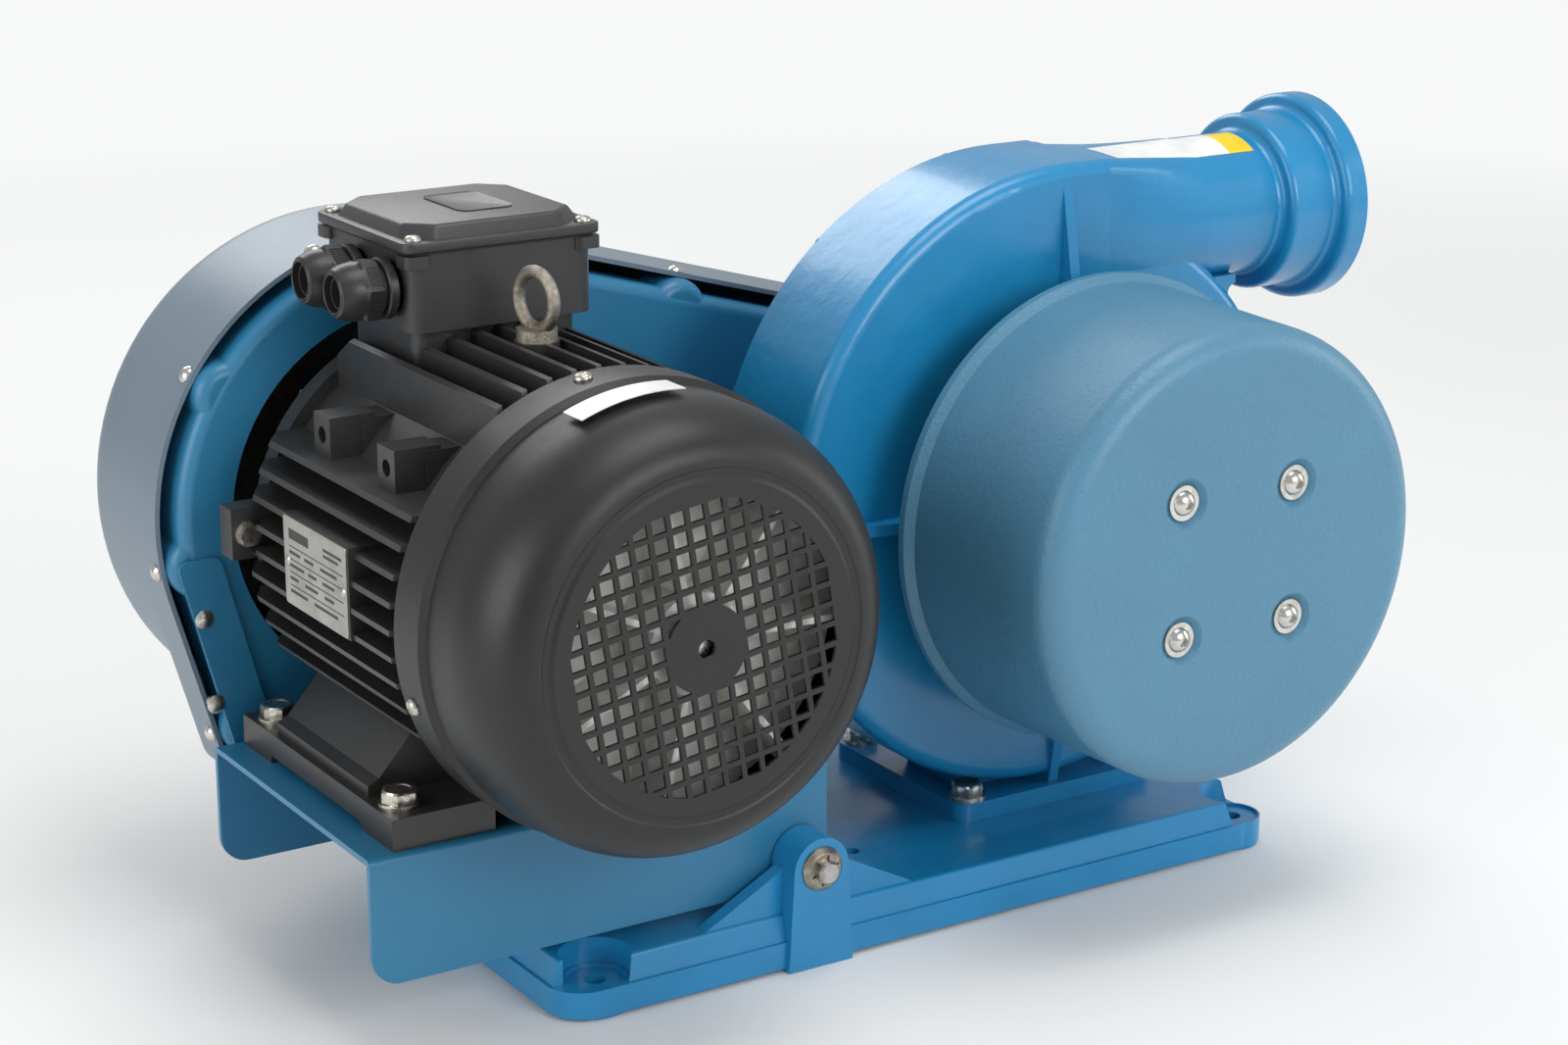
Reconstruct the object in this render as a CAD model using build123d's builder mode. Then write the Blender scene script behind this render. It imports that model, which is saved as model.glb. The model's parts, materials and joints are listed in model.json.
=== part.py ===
from build123d import *
import os
from math import acos, asin, atan2, cos, degrees, hypot, radians, sin, sqrt

# Belt-driven centrifugal blower: millimetres, +X from motor to blower, +Z up, fronts face -Y.
# The origin is the centre of the base's four-hole pattern, at floor level.

os.makedirs("parts", exist_ok=True)

# Fits and clearances
shaft_fit = 0.05  # radial, a shaft in its bearing or a pin in its bore
free_gap = 0.6  # between a moving piece and a fixed one beside it
bolt_play = 0.5  # radial, a bolt in its hole
lining_gap = 0.3  # a loose liner inside its shell

# Base casting
base_holes_x = 403
base_holes_y = 188
base_hole_radius = 5.5
left_margin = 25.5  # hole centres to the left end
right_margin = 11.5
side_margin = 16.5
pad_height = 2
foot_top = 16
platform_top = 29
platform_ledge = 2
platform_draft = 14
base_corner = 20
scallop_radius = 18
pocket_radius = 15
pocket_depth = 1.5
base_skin = 7
base_rib = 8
cells_along = 6
cells_across = 3

# Pivot of the motor plate
pivot_x = -82
pivot_z = 53
rod_radius = 6
pivot_boss_radius = 16
pivot_block_proud = 3
pivot_block_foot = 38
rod_stand_out = 8
gusset_run = 50
gusset_height = 33
gusset_width = 8
gusset_inset = 7
cap_radius = 11.75
cap_height = 3.6

# Motor plate
plate_top = 101
plate_sheet = 3
plate_left = 121.5  # from the motor axis
plate_right = 132.5
plate_depth = 182
plate_flange = 64.5
plate_corner = 15

# Motor, frame size 112
motor_x = -197
shaft_height = 112
foot_spacing_x = 190
foot_spacing_y = 140
foot_hole_radius = 6
foot_length = 173
foot_inner = 53
foot_outer = 107
foot_thickness = 16
barrel_radius = 90
barrel_bore = 81
frame_front = -108
frame_rear = 72
fin_tip_radius = 111
fin_pitch = 13
fin_thickness = 2.8
fins_each_way = 4
shield_flange = 12
drive_nose = 136  # depth of the drive-end shield's face
bearing_outer = 31
bearing_bore = 15
bearing_width = 16
core_length = 100
core_radius = 50
air_gap = 0.6
shaft_radius = 14
shaft_end = 198
winding_length = 22

# Fan cowl
cowl_rear = -105.5
cowl_face = -194.8
cowl_rim_radius = 111.6
cowl_body_radius = 108.6
cowl_face_radius = 84
cowl_collar = 24
cowl_sheet = 1.8
cowl_groove = 1.2
cowl_crown = 40
cowl_screw_inset = 10
cowl_screw_radius = 2
grille_pitch = 9.86
grille_bar = 2.6
grille_radius = 70
grille_hub = 21
grille_turn = 8.7
cowl_screw_angles = (99, 196, 279, 16)
plate_size = (70, 44)  # rating plate
plate_gauge = 0.8
fan_radius = 92
fan_blades = 7
fan_depth = 34
fan_setback = 9

# Terminal box
box_guard_gap = 9
box_depth = 97
box_width = 100
box_bottom = 326
box_height = 38
box_wall = 4
lid_overhang = 3.5
lid_flange = 5
lid_rise = 6.5
lid_raised_inset = 4
corner_post = 6
gasket_thickness = 1.5
gland_pitch = 36
gland_inset = 20  # from the box's front to the first gland
gland_z = 346
gland_radius = 14.5
gland_length = 32

# Blower
blower_x = 112
blower_z = 203
volute_front = -48.5
volute_width = 67
volute_wall = 7
scroll_radius = 157  # of the lower right quarter
scroll_step = 8
volute_edge = 8
inlet_radius = 38
casing_foot_x = 133
casing_foot_front = -54
casing_foot_rear = 70
casing_foot_thickness = 10
casing_bolt_x = 108
casing_bolt_front = -43
casing_bolt_rear = 60
back_plate_thickness = 8
impeller_radius = 124
impeller_blades = 12
impeller_blade_width = 40
blower_bearing_bore = 12.5
blower_bearing_width = 15
blower_bearing_outer = 26
housing_radius = 32
housing_rear = 138
housing_flange = 9
front_flange_radius = 42
front_screw_circle = 37
panel_flange_radius = 51
panel_screw_circle = 47
housing_opening = 43
housing_screw_angles = (45, 135, 225, 315)

# Outlet
pipe_radius = 39
pipe_bore = 31
neck_step = 9.5  # from the pipe out to the neck
lip_step = 8.5  # from the neck out to the lip
mouth_round = 4
outlet_end = 300
tongue_fillet = 5
throat_step = 0.05  # the outlet's faces lie just inside the scroll's
throat_lip = 0.3  # the throat's end is this much larger than the pipe
casing_rib = 6
pedestal_depth = 49
casing_web_inner = 92
casing_web_height = 13
lip_width = 14
neck_width = 31
socket_radius = 40
socket_depth = 42

# Inlet silencer
drum_front = -195.5
drum_rear = -76.7
drum_front_radius = 119
drum_rear_radius = 121.5
drum_rim_radius = 125.5
drum_wall = 4
drum_edge = 14
drum_screw_side = 70.5
drum_pocket_radius = 13
drum_pocket_depth = 3.5
foam_thickness = 18
stud_radius = 4
spacer_radius = 9

# Belt drive
pulley_front = 150
groove_pitch = 12
groove_count = 2
drive_pitch_radius = 100
driven_pitch_radius = 35.5
belt_top_width = 9.7
belt_bottom_width = 4
belt_above = 2
belt_below = 6
belt_gap = 0.3

# Belt guard
guard_big_radius = 140
guard_small_radius = 65
guard_corner_radius = 15
guard_corner_x = -95  # centre of the lower left corner, from the motor axis
guard_sheet = 2.5
panel_front = 99.5
panel_sheet = 3
panel_back = 128
panel_inset = 9.5
panel_edge = 7
motor_opening = 102
cover_front = 108.5
cover_rear = 204.5
skirt_rear = 137
cover_edge = 20
support_x = 6
support_width = 40
support_reach = 28
bump_radius = 18
bump_inset = 2.8
guard_screw_y = 115
guard_screw_radius = 2.5

# Sizes that follow from the ones above
motor_z = plate_top + shaft_height
base_left = -base_holes_x / 2 - left_margin
base_right = base_holes_x / 2 + right_margin
base_length = base_right - base_left
base_depth = base_holes_y + 2 * side_margin
base_centre_x = (base_left + base_right) / 2
base_front = -base_depth / 2
block_front = base_front - pivot_block_proud
block_back = -plate_depth / 2 - free_gap - 0.4
plate_centre_x = motor_x + (plate_right - plate_left) / 2
plate_width = plate_left + plate_right
volute_rear = volute_front + volute_width
volute_mid = volute_front + volute_width / 2
housing_front = volute_rear + back_plate_thickness
scroll_top = scroll_radius + 2.5 * scroll_step
pulley_width = groove_count * groove_pitch + 4
cowl_screw_bottom = fin_tip_radius - 12
box_front = panel_front - box_guard_gap - box_depth
drive_axis = (motor_x, motor_z)
blower_axis = (blower_x, blower_z)
guard_corner = (motor_x + guard_corner_x, motor_z - guard_big_radius + guard_corner_radius)


def facing_front(y, x=0, z=0):
    """Sketch plane at depth y: sketch x is +X, sketch y is +Z, extrusion goes forward."""
    return Plane(origin=(x, y, z), x_dir=(1, 0, 0), z_dir=(0, -1, 0))


def facing_rear(y, x=0, z=0):
    """Plane at depth y that looks backward."""
    return Plane(origin=(x, y, z), x_dir=(1, 0, 0), z_dir=(0, 1, 0))


def facing_right(x, y=0, z=0):
    """Sketch plane at x: sketch x is +Y, sketch y is +Z, extrusion goes right."""
    return Plane(origin=(x, y, z), x_dir=(0, 1, 0), z_dir=(1, 0, 0))


def disc(axis, near, far, outer, inner=0.0, mode=Mode.ADD):
    """Disc or ring about a Y axis at (x, z), from depth near to depth far."""
    with BuildSketch(facing_front(near, axis[0], axis[1])) as face:
        Circle(outer)
        if inner > 0:
            Circle(inner, mode=Mode.SUBTRACT)
    extrude(face.sketch, amount=near - far, mode=mode)


def rod_x(centre, start, end, outer, inner=0.0, mode=Mode.ADD):
    """Disc or ring about an X axis at (y, z), from x start to x end."""
    with BuildSketch(facing_right(start, centre[0], centre[1])) as face:
        Circle(outer)
        if inner > 0:
            Circle(inner, mode=Mode.SUBTRACT)
    extrude(face.sketch, amount=end - start, mode=mode)


def post(centre, bottom, top, outer, inner=0.0, mode=Mode.ADD):
    """Disc or ring about a vertical axis at (x, y)."""
    with BuildSketch(Plane.XY.offset(bottom)) as face:
        with Locations(centre):
            Circle(outer)
            if inner > 0:
                Circle(inner, mode=Mode.SUBTRACT)
    extrude(face.sketch, amount=top - bottom, mode=mode)


def block(low, high, mode=Mode.ADD):
    """Box between two corners."""
    centre = tuple((a + b) / 2 for a, b in zip(low, high))
    with Locations(centre):
        Box(abs(high[0] - low[0]), abs(high[1] - low[1]), abs(high[2] - low[2]), mode=mode)


def hexagon(plane, across_flats, height, bore=0.0):
    """Hexagonal head or nut that stands on a plane."""
    with BuildSketch(plane) as face:
        RegularPolygon(across_flats / 2, 6, major_radius=False)
        if bore > 0:
            Circle(bore, mode=Mode.SUBTRACT)
    extrude(face.sketch, amount=height)


def peg(plane, radius, height, bore=0.0, mode=Mode.ADD):
    """Round shank, washer or head that stands on a plane."""
    with BuildSketch(plane) as face:
        Circle(radius)
        if bore > 0:
            Circle(bore, mode=Mode.SUBTRACT)
    extrude(face.sketch, amount=height, mode=mode)


def dome(plane, radius, height):
    """Low domed screw head that stands on a plane."""
    crown = (radius * radius + height * height) / (2 * height)
    half_angle = asin(radius / crown) / 2
    with BuildSketch(Plane(origin=plane.origin, x_dir=plane.x_dir, z_dir=-plane.y_dir)) as face:
        with BuildLine():
            Line((0, 0), (radius, 0))
            ThreePointArc(
                (radius, 0),
                (crown * sin(half_angle), crown * cos(half_angle) - crown + height),
                (0, height),
            )
            Line((0, height), (0, 0))
        make_face()
    revolve(face.sketch, axis=Axis(plane.origin, plane.z_dir))


def turned(axis, points, mode=Mode.ADD):
    """Solid of revolution about a Y axis at (x, z), from (radius, depth) points."""
    with BuildSketch(Plane(origin=(axis[0], 0, axis[1]), x_dir=(1, 0, 0), z_dir=(0, 0, 1))) as face:
        with BuildLine():
            Polyline(*points, close=True)
        make_face()
    revolve(face.sketch, axis=Axis((axis[0], 0, axis[1]), (0, 1, 0)), mode=mode)


def around(axis, radius, angle):
    """Point (x, z) on a circle about a Y axis, at an angle from +X towards +Z."""
    return (axis[0] + radius * cos(radians(angle)), axis[1] + radius * sin(radians(angle)))


def polar(radius, angle):
    """Point on a circle about the sketch origin."""
    return (radius * cos(radians(angle)), radius * sin(radians(angle)))


def button(axis, near, far, radius, edge):
    """Disc about a Y axis with its near edge rounded."""
    with BuildSketch(Plane(origin=(axis[0], 0, axis[1]), x_dir=(1, 0, 0), z_dir=(0, 0, 1))) as section:
        with BuildLine():
            Polyline((0, near), (radius - edge, near))
            CenterArc((radius - edge, near + edge), edge, -90, 90)
            Polyline((radius, near + edge), (radius, far), (0, far), (0, near))
        make_face()
    revolve(section.sketch, axis=Axis((axis[0], 0, axis[1]), (0, 1, 0)))


def up(x, y, z):
    """Plane that looks up from a point."""
    return Plane(origin=(x, y, z), x_dir=(1, 0, 0), z_dir=(0, 0, 1))


def down(x, y, z):
    """Plane that looks down from a point."""
    return Plane(origin=(x, y, z), x_dir=(1, 0, 0), z_dir=(0, 0, -1))


def radial(axis, angle, radius, y):
    """Plane that looks outward from a Y axis at an angle from +X towards +Z."""
    outward = (cos(radians(angle)), 0, sin(radians(angle)))
    return Plane(
        origin=(axis[0] + radius * outward[0], y, axis[1] + radius * outward[2]),
        x_dir=(0, 1, 0),
        z_dir=outward,
    )


def save(builder, name):
    """Label a piece and write its STEP file."""
    builder.part.label = name
    export_step(builder.part, f"parts/{name}.step")


# Base --------------------------------------------------------------------------------------

casing_bolts = [
    (blower_x + side * casing_bolt_x / 2, y) for side in (-1, 1) for y in (casing_bolt_front, casing_bolt_rear)
]
support_bolts = [
    (support_x + side * support_width / 4, panel_front - plate_sheet - support_reach / 2) for side in (-1, 1)
]
insert_hole = (-24, -54)
cell_x = (base_holes_x - 2 * scallop_radius - (cells_along + 1) * base_rib) / cells_along
cell_y = (-2 * block_back - (cells_across + 1) * base_rib) / cells_across
support_top = 152
support_front = panel_front - plate_sheet - support_reach
support_holes = [(x, support_top - 12) for x, y in support_bolts]
bracket_top = (-331, 198)
bracket_foot = (-295, 59)
bracket_width = 23
rivet_holes = [(-318, 167), (-314, 121)]


def pivot_block(front, depth):
    """Boss for the rod, on a foot that widens towards the floor."""
    with BuildSketch(facing_front(front)) as face:
        with Locations((pivot_x, pivot_z)):
            Circle(pivot_boss_radius)
        with Locations((pivot_x, 0)):
            Rectangle(pivot_block_foot, pad_height, align=(Align.CENTER, Align.MIN))
        make_hull()
    extrude(face.sketch, amount=-depth)


def gusset(side, front):
    """Triangular web from the platform up to the boss."""
    edge = pivot_x + side * (pivot_boss_radius - 2)
    with BuildSketch(facing_front(front)) as face:
        with BuildLine():
            Polyline(
                (edge, platform_top - 1),
                (edge + side * gusset_run, platform_top - 1),
                (edge, platform_top + gusset_height - 8),
                close=True,
            )
        make_face()
    extrude(face.sketch, amount=-gusset_width)


with BuildPart() as base_casting:
    with BuildSketch(Plane.XY.offset(pad_height)):
        with Locations((base_centre_x, 0)):
            RectangleRounded(base_length, base_depth, base_corner)
        with Locations(*[(base_holes_x / 2, side * base_holes_y / 2) for side in (-1, 1)]):
            Circle(pocket_radius + 1)
    extrude(amount=foot_top - pad_height)
    with BuildSketch(Plane.XY.offset(foot_top)):
        with Locations((base_centre_x, 0)):
            Rectangle(base_length - 2 * platform_ledge, base_depth - 2 * platform_ledge)
    extrude(amount=platform_top - foot_top, taper=platform_draft)
    fillet(base_casting.edges().group_by(Axis.Z)[-1], radius=2)
    with BuildSketch(Plane.XY.offset(foot_top)):
        with GridLocations(base_holes_x, base_holes_y, 2, 2):
            Circle(scallop_radius)
        for side in (-1, 1):
            for end, reach in ((-1, left_margin), (1, right_margin)):
                with Locations((end * (base_holes_x / 2 + reach), side * (base_holes_y / 2 + side_margin))):
                    Rectangle(2 * reach, 2 * side_margin)
    extrude(amount=platform_top, mode=Mode.SUBTRACT)
    with BuildSketch():
        with GridLocations(base_holes_x, base_holes_y, 2, 2):
            Circle(pocket_radius)
    extrude(amount=pad_height)
    with BuildSketch(Plane.XY.offset(foot_top - pocket_depth)):
        with GridLocations(base_holes_x, base_holes_y, 2, 2):
            Circle(pocket_radius)
    extrude(amount=pocket_depth, mode=Mode.SUBTRACT)
    with BuildSketch():
        with GridLocations(cell_x + base_rib, cell_y + base_rib, cells_along, cells_across):
            RectangleRounded(cell_x, cell_y, 6)
    extrude(amount=platform_top - base_skin, mode=Mode.SUBTRACT)
    pivot_block(block_front, block_back - block_front)
    pivot_block(-block_back, block_back - block_front)
    for side in (-1, 1):
        gusset(side, base_front + gusset_inset)
        gusset(side, -base_front - gusset_inset - gusset_width)
    disc((pivot_x, pivot_z), block_front, -block_front, rod_radius + shaft_fit, mode=Mode.SUBTRACT)
    with BuildSketch():
        with GridLocations(base_holes_x, base_holes_y, 2, 2):
            Circle(base_hole_radius)
    extrude(amount=platform_top, mode=Mode.SUBTRACT)
    with BuildSketch():
        with Locations(*casing_bolts):
            Circle(5)
        with Locations(*support_bolts):
            Circle(3)
        with Locations(insert_hole):
            Circle(4)
    extrude(amount=platform_top, mode=Mode.SUBTRACT)
save(base_casting, "base_casting")

with BuildPart() as pivot_rod:
    disc((pivot_x, pivot_z), block_front - rod_stand_out, -block_front + rod_stand_out, rod_radius)
    chamfer(pivot_rod.edges().filter_by(GeomType.CIRCLE), length=1)
save(pivot_rod, "pivot_rod")

with BuildPart() as pivot_caps:
    for face_y, side in ((block_front, -1), (-block_front, 1)):
        turned(
            (pivot_x, pivot_z),
            [
                (rod_radius, face_y + side * (cap_height - 1.2)),
                (rod_radius, face_y + side * cap_height),
                (rod_radius + 1.6, face_y + side * cap_height),
                (cap_radius - 2, face_y + side * 1.2),
                (cap_radius, face_y + side * 1.2),
                (cap_radius, face_y),
                (cap_radius - 2.6, face_y),
            ],
        )
save(pivot_caps, "pivot_caps")

# Motor plate -------------------------------------------------------------------------------

foot_points = [
    (motor_x + sx * foot_spacing_x / 2, sy * foot_spacing_y / 2) for sx in (-1, 1) for sy in (-1, 1)
]

with BuildPart() as motor_plate:
    with BuildSketch(facing_front(plate_depth / 2)):
        with Locations((plate_centre_x, plate_top - plate_flange / 2)):
            Rectangle(plate_width, plate_flange)
        fillet(vertices().group_by(Axis.Y)[0], radius=plate_corner)
    extrude(amount=plate_depth)
    with Locations((plate_centre_x, 0, plate_top - plate_sheet)):
        Box(
            plate_width + 2,
            plate_depth - 2 * plate_sheet,
            2 * plate_flange,
            align=(Align.CENTER, Align.CENTER, Align.MAX),
            mode=Mode.SUBTRACT,
        )
    fillet(motor_plate.edges().filter_by(Axis.X).group_by(Axis.Z)[-1], radius=plate_sheet)
    disc((pivot_x, pivot_z), -plate_depth, plate_depth, rod_radius + shaft_fit, mode=Mode.SUBTRACT)
    for point in foot_points:
        post(point, 0, plate_top + 1, foot_hole_radius, mode=Mode.SUBTRACT)
save(motor_plate, "motor_plate")

# Motor frame -------------------------------------------------------------------------------

pad_ys = (-53.5, 17)
eye_y = -39
eye_seat = motor_z + fin_tip_radius
# Near, low corner of the rating plate's pad
plate_pad = (motor_x - fin_tip_radius - 0.3, -58.5, motor_z - 15)
plate_pad_size = (72, 45)
earth_x = motor_x - 112
earth_z = motor_z + 8
earth_seat = frame_rear - 14
pedestal_half = 44
pedestal_rear = frame_rear

with BuildPart() as motor_frame:
    turned(
        drive_axis,
        [
            (barrel_bore, frame_rear),
            (fin_tip_radius - 8, frame_rear),
            (fin_tip_radius, frame_rear - 14),
            (fin_tip_radius, frame_front + 9),
            (fin_tip_radius - 6, frame_front + 7),
            (fin_tip_radius - 6, frame_front),
            (barrel_bore, frame_front),
        ],
    )
    with BuildSketch(facing_front(frame_rear, *drive_axis)):
        Circle(fin_tip_radius + 2)
        Circle(barrel_radius, mode=Mode.SUBTRACT)
        for step in range(-fins_each_way, fins_each_way + 1):
            with Locations((0, step * fin_pitch)):
                Rectangle(2 * fin_tip_radius + 10, fin_thickness, mode=Mode.SUBTRACT)
            with Locations((step * fin_pitch, 0)):
                Rectangle(fin_thickness, 2 * fin_tip_radius + 10, mode=Mode.SUBTRACT)
    extrude(amount=frame_rear - frame_front, mode=Mode.SUBTRACT)
    for side in (-1, 1):
        inner = motor_x + side * foot_inner
        outer = motor_x + side * foot_outer
        low_x = min(inner, outer)
        high_x = max(inner, outer)
        half = foot_length / 2
        block((low_x, -half, plate_top), (high_x, half, plate_top + foot_thickness))
        with BuildSketch(facing_front(half - 34)):
            with BuildLine():
                Polyline(
                    (outer - side * 4, plate_top + foot_thickness - 1),
                    (inner, plate_top + foot_thickness - 1),
                    (inner - side * 6, plate_top + 44),
                    (motor_x + side * 70, plate_top + 54),
                    (outer - side * 10, plate_top + foot_thickness + 8),
                    (outer - side * 4, plate_top + foot_thickness + 5),
                    close=True,
                )
            make_face()
        extrude(amount=2 * half - 68)
        block((outer - side * 14, -half + 34, plate_top), (outer, half - 34, plate_top + 4), mode=Mode.SUBTRACT)
        for y in pad_ys:
            block(
                (motor_x + side * 60 - 12, y - 10, motor_z + 4 * fin_pitch + 4),
                (motor_x + side * 60 + 12, y + 10, motor_z + 4 * fin_pitch + 20),
            )
            block(
                (motor_x + side * 76 - 12, y - 9, motor_z + 4 * fin_pitch),
                (motor_x + side * 76 + 12, y + 9, motor_z + 4 * fin_pitch + 22),
            )
            rod_x(
                (y, motor_z + 4 * fin_pitch + 12),
                motor_x + side * 78,
                motor_x + side * 90,
                4.2,
                mode=Mode.SUBTRACT,
            )
    for y in pad_ys:
        post((motor_x - 64, y + 6), plate_top + 46, plate_top + 62, 8)
    with BuildSketch(up(motor_x, 0, motor_z)):
        with Locations((0, (pedestal_rear + box_front + 8) / 2)):
            RectangleRounded(2 * pedestal_half, pedestal_rear - box_front - 8, 6)
    extrude(amount=box_bottom - motor_z)
    post((motor_x, eye_y), motor_z + barrel_radius - 6, eye_seat, 11)
    block(
        (plate_pad[0], plate_pad[1], plate_pad[2]),
        (motor_x - barrel_bore, plate_pad[1] + plate_pad_size[0], plate_pad[2] + plate_pad_size[1]),
    )
    block((earth_x - 8, earth_seat, earth_z - 13), (motor_x - 84, frame_rear, earth_z + 13))
    disc(drive_axis, frame_front - 1, frame_rear + 10, barrel_bore, mode=Mode.SUBTRACT)
    with BuildSketch(up(motor_x, 0, motor_z + barrel_bore - 10)):
        with Locations((0, (pedestal_rear + box_front + 8) / 2)):
            Rectangle(40, 40)
    extrude(amount=80, mode=Mode.SUBTRACT)
    post((motor_x, eye_y), eye_seat - 16, eye_seat, 4 + shaft_fit, mode=Mode.SUBTRACT)
    for point in foot_points:
        post(point, plate_top - 1, plate_top + foot_thickness + 1, foot_hole_radius, mode=Mode.SUBTRACT)
    disc((earth_x, earth_z), earth_seat - 8, earth_seat, 9, mode=Mode.SUBTRACT)
    disc((earth_x, earth_z), earth_seat, frame_rear + 1, 3 + shaft_fit, mode=Mode.SUBTRACT)
save(motor_frame, "motor_frame")

foot_washer = 2
with BuildPart() as motor_foot_washers:
    for x, y in foot_points:
        peg(up(x, y, plate_top + foot_thickness), 10, foot_washer, 5.3)
save(motor_foot_washers, "motor_foot_washers")

with BuildPart() as motor_foot_bolts:
    for x, y in foot_points:
        seat = plate_top + foot_thickness + foot_washer
        hexagon(up(x, y, seat), 16, 6.4)
        peg(down(x, y, seat), 5, foot_thickness + foot_washer + plate_sheet + 11)
save(motor_foot_bolts, "motor_foot_bolts")

with BuildPart() as motor_foot_nuts:
    for x, y in foot_points:
        hexagon(down(x, y, plate_top - plate_sheet), 16, 8, 5)
save(motor_foot_nuts, "motor_foot_nuts")

# Motor inside ------------------------------------------------------------------------------

core_front = -55
core_rear = core_front + core_length
fan_bearing_front = frame_front + 6
drive_bearing_front = drive_nose - 4 - bearing_width

with BuildPart() as stator_core:
    disc(drive_axis, core_front, core_rear, barrel_bore, core_radius + air_gap)
save(stator_core, "stator_core")

with BuildPart() as stator_windings:
    for near, far in ((core_front - winding_length, core_front), (core_rear, core_rear + winding_length)):
        disc(drive_axis, near, far, barrel_bore - 5, core_radius + 5)
    fillet(stator_windings.edges().filter_by(GeomType.CIRCLE), radius=4)
save(stator_windings, "stator_windings")

with BuildPart() as drive_end_shield:
    turned(
        drive_axis,
        [
            (bearing_outer, drive_bearing_front),
            (bearing_outer + 8, drive_bearing_front),
            (bearing_outer + 8, drive_bearing_front + 6),
            (72, frame_rear + shield_flange + 6),
            (barrel_bore - 6, frame_rear - 4),
            (barrel_bore, frame_rear - 4),
            (barrel_bore, frame_rear),
            (fin_tip_radius - 14, frame_rear),
            (fin_tip_radius - 14, frame_rear + shield_flange),
            (86, frame_rear + shield_flange),
            (80, drive_nose - 22),
            (54, drive_nose - 5),
            (48, drive_nose),
            (bearing_bore + 6, drive_nose),
            (bearing_bore + 6, drive_nose - 4),
            (bearing_outer, drive_nose - 4),
        ],
    )
save(drive_end_shield, "drive_end_shield")

boss_start = fin_tip_radius - 22
boss_radius = 6.5
boss_top = sqrt((cowl_rim_radius - cowl_sheet) ** 2 - boss_radius**2)
with BuildPart() as fan_end_shield:
    turned(
        drive_axis,
        [
            (bearing_outer, fan_bearing_front + bearing_width),
            (bearing_outer + 8, fan_bearing_front + bearing_width),
            (bearing_outer + 10, frame_front + 4),
            (barrel_bore - 8, frame_front + 2),
            (barrel_bore - 6, frame_front + 6),
            (barrel_bore, frame_front + 6),
            (barrel_bore, frame_front),
            (fin_tip_radius - 14, frame_front),
            (fin_tip_radius - 14, frame_front - 8),
            (86, frame_front - 8),
            (60, frame_front - 10),
            (44, frame_front - 14),
            (bearing_bore + 4, frame_front - 14),
            (bearing_bore + 4, fan_bearing_front),
            (bearing_outer, fan_bearing_front),
        ],
    )
    for angle in cowl_screw_angles:
        peg(
            radial(drive_axis, angle, boss_start, cowl_rear - cowl_screw_inset),
            boss_radius,
            boss_top - boss_start,
        )
        bottom = radial(drive_axis, angle, cowl_screw_bottom, cowl_rear - cowl_screw_inset)
        peg(bottom, cowl_screw_radius + shaft_fit, 30, mode=Mode.SUBTRACT)
save(fan_end_shield, "fan_end_shield")

with BuildPart() as motor_bearings:
    for near in (fan_bearing_front, drive_bearing_front):
        disc(drive_axis, near, near + bearing_width, bearing_outer, bearing_bore + shaft_fit)
        for face_y in (near, near + bearing_width - 1):
            disc(drive_axis, face_y, face_y + 1, bearing_outer - 4, bearing_bore + 4, mode=Mode.SUBTRACT)
save(motor_bearings, "motor_bearings")

with BuildPart() as shield_screws:
    for angle in (45, 135, 225, 315):
        for face_y, side in ((frame_rear + shield_flange, 1), (frame_front - 8, -1)):
            spot = (
                motor_x + (barrel_radius + 1.5) * cos(radians(angle)),
                motor_z + (barrel_radius + 1.5) * sin(radians(angle)),
            )
            plane = Plane(origin=(spot[0], face_y, spot[1]), x_dir=(1, 0, 0), z_dir=(0, side, 0))
            hexagon(plane, 8, 4)
save(shield_screws, "shield_screws")

# Fan cowl ----------------------------------------------------------------------------------


def cowl_body(offset, mode=Mode.ADD):
    """Cowl turned about the motor axis, its skin moved in by an offset."""
    rim = cowl_rim_radius - offset
    body = cowl_body_radius - offset
    face_y = cowl_face + offset
    step_y = cowl_rear - cowl_collar
    groove_y = face_y + cowl_groove
    crown_y = face_y + cowl_groove / 2
    crown = body - cowl_face_radius
    with BuildSketch(Plane(origin=(motor_x, 0, motor_z), x_dir=(1, 0, 0), z_dir=(0, 0, 1))) as section:
        with BuildLine():
            Polyline(
                (0, cowl_rear),
                (0, face_y),
                (cowl_face_radius - 6, face_y),
                (cowl_face_radius - 4, groove_y),
                (cowl_face_radius - 1, groove_y),
                (cowl_face_radius, crown_y),
            )
            EllipticalCenterArc((cowl_face_radius, crown_y + cowl_crown), crown, cowl_crown, -90, arc_size=90)
            Polyline(
                (body, crown_y + cowl_crown),
                (body, step_y - 3),
                (rim, step_y),
                (rim, cowl_rear),
                (0, cowl_rear),
            )
        make_face()
    revolve(section.sketch, axis=Axis((motor_x, 0, motor_z), (0, 1, 0)), mode=mode)


with BuildPart() as fan_cowl:
    cowl_body(0)
    cowl_body(cowl_sheet, mode=Mode.SUBTRACT)
    with BuildSketch(facing_front(cowl_face + 4, motor_x, motor_z)):
        with Locations(Rotation(0, 0, grille_turn)):
            with GridLocations(grille_pitch, grille_pitch, 16, 16):
                Rectangle(grille_pitch - grille_bar, grille_pitch - grille_bar)
        Circle(grille_radius, mode=Mode.INTERSECT)
        Circle(grille_hub, mode=Mode.SUBTRACT)
        Circle(4.4)
    extrude(amount=10, mode=Mode.SUBTRACT)
    for angle in cowl_screw_angles:
        bottom = radial(drive_axis, angle, cowl_screw_bottom, cowl_rear - cowl_screw_inset)
        peg(bottom, cowl_screw_radius + bolt_play, 30, mode=Mode.SUBTRACT)
save(fan_cowl, "fan_cowl")

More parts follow.
